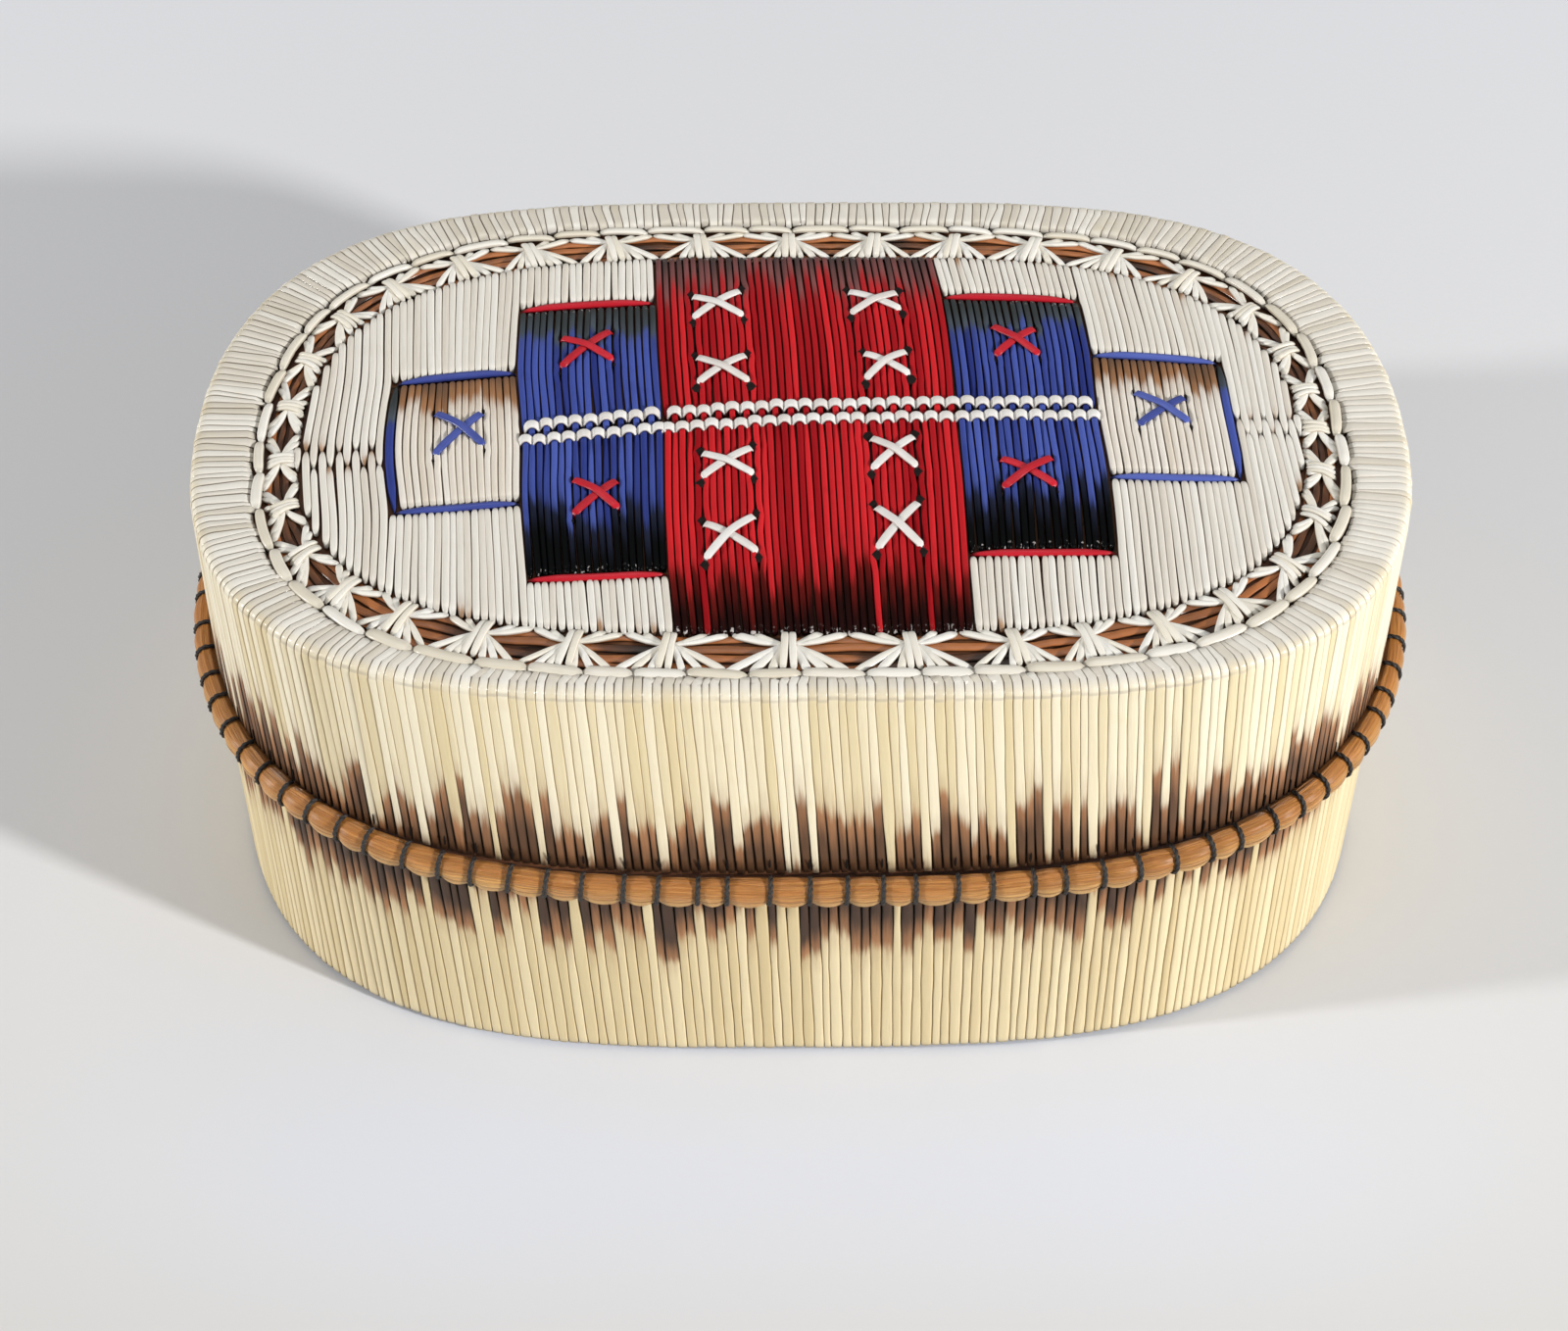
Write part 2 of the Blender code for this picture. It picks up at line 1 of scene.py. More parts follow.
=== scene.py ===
"""Looks of an oval birchbark box covered with porcupine quills, with a lid that lifts off.

Every quill is a closed strip of its own: upright on the base, folded over the lid's shoulder,
laid end to end inside the band, crossed in a border of stars and side by side in a stepped panel.
Lengths are in millimetres until a mesh is made. X runs along the box, Y across it and Z up.
"""
from collections import namedtuple
from math import cos, pi, radians, sin

import bpy
import numpy as np
from mathutils import Euler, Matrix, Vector


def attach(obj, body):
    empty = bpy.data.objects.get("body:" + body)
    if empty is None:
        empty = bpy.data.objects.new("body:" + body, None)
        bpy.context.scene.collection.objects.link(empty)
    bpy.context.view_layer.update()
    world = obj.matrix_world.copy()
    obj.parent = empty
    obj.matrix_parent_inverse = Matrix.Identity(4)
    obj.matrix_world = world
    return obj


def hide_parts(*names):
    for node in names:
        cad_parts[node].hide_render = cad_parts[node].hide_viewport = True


MM = 0.001

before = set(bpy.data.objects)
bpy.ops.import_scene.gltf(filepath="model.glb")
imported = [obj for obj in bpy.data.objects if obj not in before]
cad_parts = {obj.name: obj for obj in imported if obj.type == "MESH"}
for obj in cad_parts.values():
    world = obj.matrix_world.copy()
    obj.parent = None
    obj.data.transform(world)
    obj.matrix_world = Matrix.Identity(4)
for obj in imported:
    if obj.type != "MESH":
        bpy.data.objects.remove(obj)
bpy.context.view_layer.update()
bpy.context.scene.view_settings.view_transform = "Standard"

# Sizes shared with the solids, in millimetres
HALF_LENGTH = 90.0
TOP_HALF_DEPTH = 53.9
JOINT_HALF_DEPTH = 61.6
FOOT_HALF_DEPTH = 61.2
JOINT_HEIGHT = 38.5
TOP_HEIGHT = 73.0
SHOULDER_RADIUS = 2.4
WALL_TOP = TOP_HEIGHT - SHOULDER_RADIUS
PANEL_BASE = 71.7
PANEL_TOP = 72.7
RIM_MIDDLE = 41.1
RIM_TIES = 96

Oval = namedtuple("Oval", "half_length half_depth end_power side_power shift")
Row = namedtuple("Row", "path up half rise run tone start soft seed")
Mark = namedtuple("Mark", "u v place")
Stitch = namedtuple("Stitch", "name back_left back_right front_left front_right falling_over")

FOOT = Oval(HALF_LENGTH + 0.3, FOOT_HALF_DEPTH, 3.3, 2.4, 0.0)
JOINT = Oval(HALF_LENGTH + 0.8, JOINT_HALF_DEPTH, 3.1, 2.2, 0.0)
LID_TOP = Oval(HALF_LENGTH, TOP_HALF_DEPTH, 4.0, 2.25, 0.0)
BORDER_SHIFT = -1.5


def pattern_oval(length_share, depth_share, shift=BORDER_SHIFT):
    return Oval(HALF_LENGTH * length_share, TOP_HALF_DEPTH * depth_share, 3.6, 2.5, shift)


CHAIN_LINE = pattern_oval(0.8855, 0.8895)
STAR_OUTER = pattern_oval(0.874, 0.872)
STAR_INNER = pattern_oval(0.824, 0.751, -1.0)
PANEL_BOUND = pattern_oval(0.8185, 0.7505, -0.85)

# Quills
QUILL = 0.95
BASE_PITCH = 1.5
LID_PITCH = 1.325
FIELD_PITCH = 1.075
SQUARE_PITCH = 1.14
FAR = 1000.0
BASE_LEAN = 0.6
FOLD = 0.72
STRAIGHT_IN = 0.85

# Camera, in millimetres, and the photo's size in pixels
CAMERA_PLACE = Vector((-5.68, -312.54, 361.05))
CAMERA_TURN = Euler((radians(42.529), radians(-0.087), radians(-0.499)))
LENS = 65.57
SENSOR = 36.0
PHOTO_WIDTH = 1600
PHOTO_HEIGHT = 1358

# Panel
RED_HALF = 21.5
BLUE_HALF = 42.3
SQUARE_HALF = 61.6
BLUE_DEPTH = 28.0
SQUARE_DEPTH = 13.9
STEP_EDGE = 1.6
MIDLINE = 0.6
WRAP_OFFSET = 1.65
SEAM = -2.7
PANEL_SLACK = 4.0
SQUARE_BOW = 0.25

# Border
CHAIN_LINKS = 56
UNDER_ROWS = 4
HUB_TOP = 73.3

# Places of the stars' hubs in the photo, in pixels, clockwise from the back left
STAR_PLACES = (
    (470, 268), (540, 250), (625, 246), (714, 243), (805, 240), (892, 240), (973, 243),
    (1055, 248), (1137, 259), (1215, 278), (1275, 312), (1318, 352), (1338, 393), (1348, 432),
    (1352, 475), (1350, 522), (1318, 575), (1257, 610), (1185, 632), (1112, 648), (1037, 650),
    (930, 654), (805, 659), (682, 660), (582, 657), (485, 655), (397, 640), (337, 608),
    (299, 565), (283, 515), (280, 466), (283, 410), (297, 360), (345, 318), (399, 287),
)

# Corners of the panel's fields: where they lie in its even layout, then in the photo, in pixels
PANEL_MARKS = (
    Mark(-61.6, 14.75, (410, 388)),
    Mark(-42.3, 14.75, (528, 377.5)),
    Mark(-61.6, -14.75, (407.5, 519.5)),
    Mark(-42.3, -14.75, (532, 510)),
    Mark(-42.3, 28.85, (531, 314.5)),
    Mark(-21.5, 28.85, (669.5, 306)),
    Mark(-42.3, -28.85, (538, 588.5)),
    Mark(-21.5, -28.85, (682, 582)),
    Mark(21.5, 28.85, (960, 300.5)),
    Mark(42.3, 28.85, (1099.5, 305)),
    Mark(21.5, -28.85, (988, 562)),
    Mark(42.3, -28.85, (1139.5, 560.5)),
    Mark(42.3, 14.75, (1112, 359.5)),
    Mark(61.6, 14.75, (1238, 367)),
    Mark(42.3, -14.75, (1131, 483)),
    Mark(61.6, -14.75, (1262, 485.5)),
    Mark(-42.3, 0.6, (532, 442.5)),
    Mark(-21.5, 0.6, (677, 428)),
    Mark(0.0, 0.6, (826, 420)),
    Mark(21.5, 0.6, (976, 417)),
    Mark(42.3, 0.6, (1119, 417.5)),
    Mark(-21.5, 38.9, (668, 263)),
    Mark(21.5, 38.0, (950, 262)),
    Mark(-21.5, -41.2, (689.5, 645.5)),
    Mark(21.5, -43.6, (993, 638)),
    Mark(-75.0, -2.7, (302, 467)),
    Mark(75.0, -2.7, (1332, 432)),
)

rng = np.random.default_rng(23)


# Curves round the box

def oval_points(oval, turn):
    c, s = np.cos(turn), np.sin(turn)
    x = oval.half_length * np.sign(c) * np.abs(c) ** (2 / oval.end_power)
    y = oval.half_depth * np.sign(s) * np.abs(s) ** (2 / oval.side_power)
    return np.stack([x, y + oval.shift], axis=-1)


def oval_normals(oval, turn):
    x, y = np.moveaxis(oval_points(oval, turn) - (0.0, oval.shift), -1, 0)
    nx = np.sign(x) * np.abs(x / oval.half_length) ** (oval.end_power - 1) / oval.half_length
    ny = np.sign(y) * np.abs(y / oval.half_depth) ** (oval.side_power - 1) / oval.half_depth
    normal = np.stack([nx * oval.end_power, ny * oval.side_power], axis=-1)
    return normal / np.linalg.norm(normal, axis=-1, keepdims=True)


def measure(oval):
    """Turns of an oval, the share of the way round at each and the way's length."""
    part = np.linspace(0.0, 4.0, 5761)
    fine = (np.floor(part) + np.sin(part % 1.0 * pi / 2) ** 2) * pi / 2
    steps = np.linalg.norm(np.diff(oval_points(oval, fine), axis=0), axis=1)
    run = np.concatenate([[0.0], np.cumsum(steps)])
    return fine, run / run[-1], steps.sum()


MEASURES = {oval: measure(oval) for oval in (FOOT, JOINT, LID_TOP, CHAIN_LINE, STAR_OUTER)}


def on_lid(place, height=PANEL_TOP):
    """The point at a height that the camera sees at a place in the photo."""
    pixel = SENSOR / LENS / PHOTO_WIDTH
    ray = Vector(((place[0] - PHOTO_WIDTH / 2) * pixel, (PHOTO_HEIGHT / 2 - place[1]) * pixel, -1.0))
    ray.rotate(CAMERA_TURN)
    point = CAMERA_PLACE + ray * ((height - CAMERA_PLACE.z) / ray.z)
    return point.x, point.y


def hub_shares(turn):
    """How far out across the border the hubs lie: towards the back of the box on every side."""
    return 0.545 + 0.185 * np.sin(turn)


def star_shares():
    """The share of the way round the border at which each star's hub lies, least first."""
    turns, shares, _ = MEASURES[STAR_OUTER]
    out = hub_shares(turns)[:, None]
    line = oval_points(STAR_INNER, turns) * (1 - out) + oval_points(STAR_OUTER, turns) * out
    hubs = np.array([on_lid(place, HUB_TOP) for place in STAR_PLACES])
    nearest = np.linalg.norm(line[None] - hubs[:, None], axis=2).argmin(axis=1)
    return np.sort(shares[nearest])


STAR_SHARES = star_shares()
STARS = len(STAR_SHARES)
HUBS = hub_shares(np.interp(STAR_SHARES, MEASURES[STAR_OUTER][1], MEASURES[STAR_OUTER][0]))
END_STARS = np.abs(HUBS - 0.545) < 0.12
STAR_GAPS = (np.roll(STAR_SHARES, -1) - np.roll(STAR_SHARES, 1)) % 1.0 / 2 * MEASURES[STAR_OUTER][2]


def at_share(oval, share):
    """Points and outward normals of an oval at shares of the way round it."""
    turns, shares, _ = MEASURES[oval]
    turn = np.interp(share % 1.0, shares, turns)
    return oval_points(oval, turn), oval_normals(oval, turn)


def wall(low, high, lift, share, inset):
    """Points and normals of a wall that changes from the low oval to the high one."""
    points, normals = [], []
    for oval in (low, high):
        point, normal = at_share(oval, share)
        points.append(point - normal * inset[..., None])
        normals.append(normal)
    lift = lift[..., None]
    normal = normals[0] * (1 - lift) + normals[1] * lift
    return points[0] * (1 - lift) + points[1] * lift, normal


def border_point(star, share):
    """A point of the star border: star counts along it, share runs from its inner oval out."""
    turns, shares, _ = MEASURES[STAR_OUTER]
    places = np.concatenate([STAR_SHARES[-1:] - 1, STAR_SHARES, STAR_SHARES[:2] + 1])
    way = np.interp(star, np.arange(-1, STARS + 2), places) % 1.0
    turn = np.interp(way, shares, turns)
    share = np.asarray(share)[..., None]
    return oval_points(STAR_INNER, turn) * (1 - share) + oval_points(STAR_OUTER, turn) * share


def lifted(flat, height):
    """Flat points with a height."""
    height = np.broadcast_to(height, flat.shape[:-1])
    return np.concatenate([flat, height[..., None]], axis=-1)


def thin_plate(source, target):
    """A smooth map of the plane that carries every source point onto its target."""
    source, target = np.array(source, float), np.array(target, float)
    count = len(source)

    def terms(points):
        square = ((points[:, None] - source) ** 2).sum(axis=2)
        return np.hstack([square * np.log(square + 1e-9), np.ones((len(points), 1)), points])

    system = np.zeros((count + 3, count + 3))
    system[:count] = terms(source)
    system[:count, :count] += PANEL_SLACK * np.eye(count)
    system[count:, :count] = system[:count, count:].T
    weights = np.linalg.solve(system, np.vstack([target, np.zeros((3, 2))]))

    def carried(points):
        return (terms(points.reshape(-1, 2)) @ weights).reshape(points.shape)

    return carried


PANEL_LAYOUT = [(mark.u, mark.v) for mark in PANEL_MARKS]
PANEL_PLACES = [on_lid(mark.place) for mark in PANEL_MARKS]
TO_BOX = thin_plate(PANEL_LAYOUT, PANEL_PLACES)
TO_PANEL = thin_plate(PANEL_PLACES, PANEL_LAYOUT)


def on_panel(points):
    """Points of the panel's even layout carried to where the quills lie on the box."""
    return np.concatenate([TO_BOX(points[..., :2]), points[..., 2:]], axis=-1)


def wave(values, length, seed):
    """A smooth wave between -1 and 1 from three sines of unlike lengths."""
    phase = seed * 2.399
    total = np.sin(values * 2 * pi / length + phase)
    total = total + 0.6 * np.sin(values * 2 * pi / (length * 0.417) + 2.1 * phase)
    return (total + 0.4 * np.sin(values * 2 * pi / (length * 0.193) + 3.7 * phase)) / 2


# Strips

def rounded_ends(length, count, tip, blunt=0.3):
    """Distances along a strip, closer together at its ends, and its width as a share there."""
    share = 0.5 - 0.5 * np.cos(np.linspace(0.0, pi, count))
    run = np.asarray(length)[..., None] * share
    left = np.minimum(run, np.asarray(length)[..., None] - run) / tip
    return run, blunt + (1 - blunt) * np.sqrt(np.clip(1 - (1 - np.clip(left, 0, 1)) ** 2, 0, 1))


def row_of(path, half, rise, up=(0.0, 0.0, 1.0), run=None, tone=None, start=FAR, soft=3.0, seed=None):
    """Strips that share one count of stations. Half widths and rises may differ along each."""
    path = np.asarray(path, float)
    count, stations = path.shape[:2]
    if run is None:
        steps = np.linalg.norm(np.diff(path, axis=1), axis=2)
        run = np.concatenate([np.zeros((count, 1)), np.cumsum(steps, axis=1)], axis=1)
    tone = rng.random(count) if tone is None else np.broadcast_to(tone, count)
    seed = rng.random(count) if seed is None else np.broadcast_to(seed, count)
    each = [np.broadcast_to(np.asarray(v, float), (count, stations)) for v in (half, rise, run)]
    once = [np.broadcast_to(np.asarray(v, float), count) for v in (tone, start, soft, seed)]
    up = np.broadcast_to(np.asarray(up, float), path.shape)
    return Row(path, up, *each, *once)


def section(power, edge, corners=7):
    """The outline of a strip cut across: a flattened round top whose sides start at edge."""
    angle = np.linspace(pi, 0.0, corners)
    across = np.sign(np.cos(angle)) * np.abs(np.cos(angle)) ** (2 / power)
    height = edge + (1 - edge) * np.abs(np.sin(angle)) ** (2 / power)
    return np.append(across, 0.0), np.append(height, -0.12)


def strip_arrays(row, power, edge):
    """Vertices, faces and attributes of one row of strips."""
    across, height = section(power, edge)
    corners = len(across)
    tangent = np.gradient(row.path, axis=1)
    side = np.cross(tangent, row.up)
    side = side / np.linalg.norm(side, axis=2, keepdims=True)
    up = np.cross(side, tangent)
    up = up / np.linalg.norm(up, axis=2, keepdims=True)
    points = row.path[:, :, None] + side[:, :, None] * (row.half[..., None] * across)[..., None]
    points = points + up[:, :, None] * (row.rise[..., None] * height)[..., None]
    count, stations = row.half.shape
    number = np.arange(count * stations * corners).reshape(count, stations, corners)
    ahead = np.roll(number, -1, axis=2)
    quads = np.stack([number[:, :-1], ahead[:, :-1], ahead[:, 1:], number[:, 1:]], axis=-1)
    lie = np.stack(np.broadcast_arrays(
        across[None, None, :], row.run[..., None], row.tone[:, None, None]), axis=-1)
    dye = np.stack(np.broadcast_arrays(
        row.start[:, None, None], row.soft[:, None, None], row.seed[:, None, None]), axis=-1)
    dye = np.broadcast_to(dye, lie.shape)
    steps = np.linalg.norm(np.diff(row.path, axis=1), axis=2)
    way = np.concatenate([np.zeros((count, 1)), np.cumsum(steps, axis=1)], axis=1)
    left = np.minimum(way, way[:, -1:] - way)
    end = np.broadcast_to(left[..., None, None], lie.shape)
    faces = quads.reshape(-1, 4).tolist()
    faces += number[:, 0, ::-1].tolist() + number[:, -1].tolist()
    return points.reshape(-1, 3), faces, lie.reshape(-1, 3), dye.reshape(-1, 3), end.reshape(-1, 3)


def mesh_piece(name, body, points, faces, vectors, mat, replaced=()):
    mesh = bpy.data.meshes.new(name)
    mesh.from_pydata((points * MM).tolist(), [], faces)
    for key, values in vectors.items():
        attribute = mesh.attributes.new(key, "FLOAT_VECTOR", "POINT")
        attribute.data.foreach_set("vector", np.ascontiguousarray(values, np.float32).ravel())
    mesh.polygons.foreach_set("use_smooth", [True] * len(mesh.polygons))
    mesh.materials.append(mat)
    mesh.update()
    obj = bpy.data.objects.new(name, mesh)
    bpy.context.scene.collection.objects.link(obj)
    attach(obj, body)
    if replaced:
        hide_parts(*replaced)
    return obj


def strips(name, body, rows, mat, replaced=(), power=2.6, edge=0.2):
    """One piece made of rows of strips."""
    points, faces, lies, dyes, ends = [], [], [], [], []
    total = 0
    for row in rows:
        p, f, lie, dye, end = strip_arrays(row, power, edge)
        faces += [[i + total for i in face] for face in f] if total else f
        total += len(p)
        points.append(p)
        lies.append(lie)
        dyes.append(dye)
        ends.append(end)
    vectors = {"lie": np.concatenate(lies), "dye": np.concatenate(dyes), "end": np.concatenate(ends)}
    return mesh_piece(name, body, np.concatenate(points), faces, vectors, mat, replaced)


# Materials

def srgb(red, green, blue):
    """A colour as it is seen, from 0 to 255 a channel, in the linear values of a shader."""
    seen = np.array([red, green, blue]) / 255
    linear = np.where(seen <= 0.04045, seen / 12.92, ((seen + 0.055) / 1.055) ** 2.4)
    return (*linear.tolist(), 1.0)


class Graph:
    """A material's nodes, made one call at a time."""

    def __init__(self, name, roughness=0.4, specular=0.5):
        self.mat = bpy.data.materials.new(name)
        self.mat.use_nodes = True
        self.tree = self.mat.node_tree
        self.shader = self.tree.nodes["Principled BSDF"]
        self.shader.inputs["Roughness"].default_value = roughness
        self.shader.inputs["Specular IOR Level"].default_value = specular

    def feed(self, socket, value):
        if isinstance(value, bpy.types.NodeSocket):
            self.tree.links.new(value, socket)
        else:
            socket.default_value = value

    def node(self, kind, settings, inputs, output=0):
        made = self.tree.nodes.new("ShaderNode" + kind)
        for key, value in settings.items():
            setattr(made, key, value)
        for key, value in inputs.items():
            self.feed(made.inputs[key], value)
        return made.outputs[output]

    def math(self, operation, a, b=0.0, clamp=False):
        return self.node("Math", {"operation": operation, "use_clamp": clamp}, {0: a, 1: b})

    def smooth(self, value, low, high):
        """0 below low, 1 above high and a smooth step between."""
        inputs = {"Value": value, "From Min": low, "From Max": high}
        return self.node("MapRange", {"interpolation_type": "SMOOTHSTEP"}, inputs)

    def mix(self, share, a, b, blend="MIX"):
        settings = {"data_type": "RGBA", "blend_type": blend, "clamp_factor": True}
        return self.node("Mix", settings, {0: share, 6: a, 7: b}, 2)

    def noise(self, vector, scale, detail=2.0, roughness=0.5):
        inputs = {"Vector": vector, "Scale": scale, "Detail": detail, "Roughness": roughness}
        return self.node("TexNoise", {}, inputs)

    def parts(self, vector):
        made = self.tree.nodes.new("ShaderNodeSeparateXYZ")
        self.feed(made.inputs[0], vector)
        return made.outputs

    def joined(self, x, y, z):
        return self.node("CombineXYZ", {}, {0: x, 1: y, 2: z})

    def attribute(self, name):
        return self.parts(self.node("Attribute", {"attribute_name": name}, {}, 1))

    def place(self):
        return self.node("TexCoord", {}, {}, 3)

    def color(self, value):
        self.feed(self.shader.inputs["Base Color"], value)

    def rough(self, value):
        self.feed(self.shader.inputs["Roughness"], value)

    def bump(self, height, depth, strength=1.0):
        inputs = {"Height": height, "Distance": depth * MM, "Strength": strength}
        self.feed(self.shader.inputs["Normal"], self.node("Bump", {}, inputs))


# gap is the colour painted on each quill's edges as the shade in the crevice between quills, with the dark bark
# seen there.
def quill_material(name, light, dark, tip=(150, 108, 72), tip_end=(88, 61, 42), gap=(90, 70, 50),
                   roughness=0.36, gap_shade_depth=0.5, streaks=0.5, coat=0.12, specular=0.5, top=None,
                   glints=False, end_shade=0.3):
    """Quill: colour that differs from one to the next, streaks along it and a dyed or brown tip, with painted shade
    between quills and at their ends, and painted glints at dyed tips.
    """
    g = Graph(name, roughness, specular)
    g.shader.inputs["Coat Roughness"].default_value = 0.14
    across, run, tone = g.attribute("lie")
    left = g.attribute("end")[0]
    start, soft, seed = g.attribute("dye")
    lane = g.math("MULTIPLY", seed, 57.0)
    long = g.joined(g.math("MULTIPLY", across, 0.9), g.math("MULTIPLY", run, 0.07), lane)
    streak = g.noise(long, 1.6, 3.0, 0.6)
    fine_across = g.math("MULTIPLY", across, 5.0)
    fine = g.noise(g.joined(fine_across, g.math("MULTIPLY", run, 0.16), lane), 1.5, 2.0)
    blotch = g.noise(g.place(), 140.0, 3.0, 0.6)
    share = g.math("ADD", g.math("MULTIPLY", tone, 1 - streaks), g.math("MULTIPLY", streak, streaks))
    share = g.smooth(share, 0.15, 0.95)
    base = g.mix(share, srgb(*light), srgb(*dark))
    edge = g.math("ABSOLUTE", across)
    # Painted light: the part of each quill on the lid top gets duller, greyer colours, for the top face lit
    # differently from the front of the wall.
    if top:
        over = g.smooth(g.math("MULTIPLY", run, -1.0), -0.6, 1.4)
        base = g.mix(over, base, g.mix(share, srgb(*top[0]), srgb(*top[1])))
    base = g.mix(g.math("MULTIPLY", g.smooth(blotch, 0.55, 0.8), 0.3), base, srgb(*dark))
    wobble = g.math("MULTIPLY", g.math("SUBTRACT", streak, 0.5), g.math("MULTIPLY", soft, 1.6))
    slant = g.math("MULTIPLY", g.math("SUBTRACT", seed, 0.5), g.math("MULTIPLY", across, 1.6))
    into = g.math("ADD", g.math("SUBTRACT", run, start), g.math("ADD", wobble, slant))
    into = g.math("DIVIDE", into, soft)
    tipward = g.smooth(into, 0.0, 1.0)
    stain = g.math("MULTIPLY", g.smooth(into, -1.4, 0.4), 0.22)
    base = g.mix(stain, base, srgb(*tip))
    pale_tip = [min(255, channel * 1.2) for channel in tip]
    base = g.mix(tipward, base, g.mix(tone, srgb(*tip), srgb(*pale_tip)))
    base = g.mix(g.smooth(into, 0.7, 2.6), base, srgb(*tip_end))
    bare = g.math("SUBTRACT", 1.0, g.math("MULTIPLY", tipward, 0.8))
    g.feed(g.shader.inputs["Coat Weight"], g.math("MULTIPLY", bare, coat))
    # Painted shade: on the lid top the gap shade and the dark lines between quills are painted weaker towards the
    # right end of the box.
    if top:
        right_gap_fade = g.math("MULTIPLY", g.smooth(g.parts(g.place())[0], 0.02, 0.085), 0.5)
        gap_shade_depth = g.math("SUBTRACT", gap_shade_depth, g.math("MULTIPLY", right_gap_fade, 0.8))
    # Painted shade: the quill's edges take the gap colour, for the shade between neighbouring quills and the dark
    # bark seen between them.
    side = g.math("MULTIPLY", g.smooth(edge, 0.8, 1.0), gap_shade_depth)
    base = g.mix(side, base, srgb(*gap))
    # Painted shade: dark lines between the quills where they lie on the lid top.
    if top:
        line = g.math("MULTIPLY", g.smooth(edge, 0.78, 0.95), g.math("SUBTRACT", 0.75, right_gap_fade))
        base = g.mix(g.math("MULTIPLY", line, over), base, srgb(92, 82, 70))
    # Painted shade: the gaps between quills are darkened where the quills are dyed or brown at the tip.
    tip_gap_shade = g.math("MULTIPLY", g.math("MULTIPLY", g.smooth(edge, 0.62, 0.98), tipward), 0.9)
    base = g.mix(tip_gap_shade, base, srgb(*[channel * 0.2 for channel in tip_end]))
    near_end = g.math("MULTIPLY", g.math("SUBTRACT", 1.0, g.smooth(left, 0.2, 1.0)), end_shade)
    base = g.mix(near_end, base, srgb(*[channel * 0.5 for channel in tip_end]))
    rough = g.math("ADD", roughness - 0.08, g.math("MULTIPLY", fine, 0.16))
    rough = g.math("ADD", rough, g.math("MULTIPLY", tipward, 0.12))
    # Painted shade: a broken grey line along the fold at the shoulder's crease.
    if top:
        near = g.math("ABSOLUTE", run)
        line = g.math("SUBTRACT", 1.0, g.smooth(near, 0.05, 0.22))
        crease_shade = g.math("MULTIPLY", line, g.smooth(blotch, 0.35, 0.6))
        base = g.mix(g.math("MULTIPLY", crease_shade, 0.45), base, srgb(168, 157, 140))
    # Painted glints: white specks near the ends of dyed tips, standing in for small highlights.
    if glints:
        tip_part = g.math("MULTIPLY", g.math("SUBTRACT", 1.0, g.smooth(left, 0.5, 1.3)), tipward)
        painted_glint = g.smooth(g.noise(g.place(), 1500.0, 2.0), 0.60, 0.66)
        base = g.mix(g.math("MULTIPLY", g.math("MULTIPLY", painted_glint, tip_part), 0.75), base, srgb(205, 198, 194))
        rough = g.math("SUBTRACT", rough, g.math("MULTIPLY", tip_part, 0.16))
    g.color(base)
    g.rough(rough)
    g.bump(g.math("ADD", g.math("MULTIPLY", fine, 0.7), g.math("MULTIPLY", streak, 0.6)), 0.06)
    return g.mat


def bark_material(name, light, dark, mark, roughness=0.62, scale=1.0, upright=False):
    """Birchbark sheet: fibrous sheen, darker clouds and short dark lenticels, along X or round."""
    g = Graph(name, roughness, 0.35)
    x, y, z = g.parts(g.place())

    def stretched(low, high):
        """Place in a pattern that is long one way of the sheet and short the other."""
        if upright:
            far = g.math("SQRT", g.math("ADD", g.math("MULTIPLY", x, x), g.math("MULTIPLY", y, y)))
            aside, ahead = (g.math("MULTIPLY", g.math("DIVIDE", part, far), low * 0.075) for part in (x, y))
            return g.joined(aside, ahead, g.math("MULTIPLY", z, high))
        return g.joined(g.math("MULTIPLY", x, low), g.math("MULTIPLY", y, high), g.math("MULTIPLY", z, high))

    fibre = g.noise(stretched(60.0 * scale, 420.0 * scale), 1.0, 4.0, 0.65)
    cloud = g.noise(g.place(), 45.0 * scale, 3.0, 0.6)
    pore = g.noise(stretched(90.0, 700.0), 1.0, 1.0)
    lenticel = g.smooth(pore, 0.66, 0.72)
    base = g.mix(g.smooth(cloud, 0.3, 0.7), srgb(*light), srgb(*dark))
    base = g.mix(g.math("MULTIPLY", g.smooth(fibre, 0.45, 0.75), 0.5), base, srgb(*dark))
    base = g.mix(g.math("MULTIPLY", lenticel, 0.8), base, srgb(*mark))
    g.color(base)
    g.rough(g.math("ADD", roughness - 0.1, g.math("MULTIPLY", fibre, 0.2)))
    g.bump(g.math("SUBTRACT", fibre, g.math("MULTIPLY", lenticel, 0.5)), 0.12)
    return g.mat


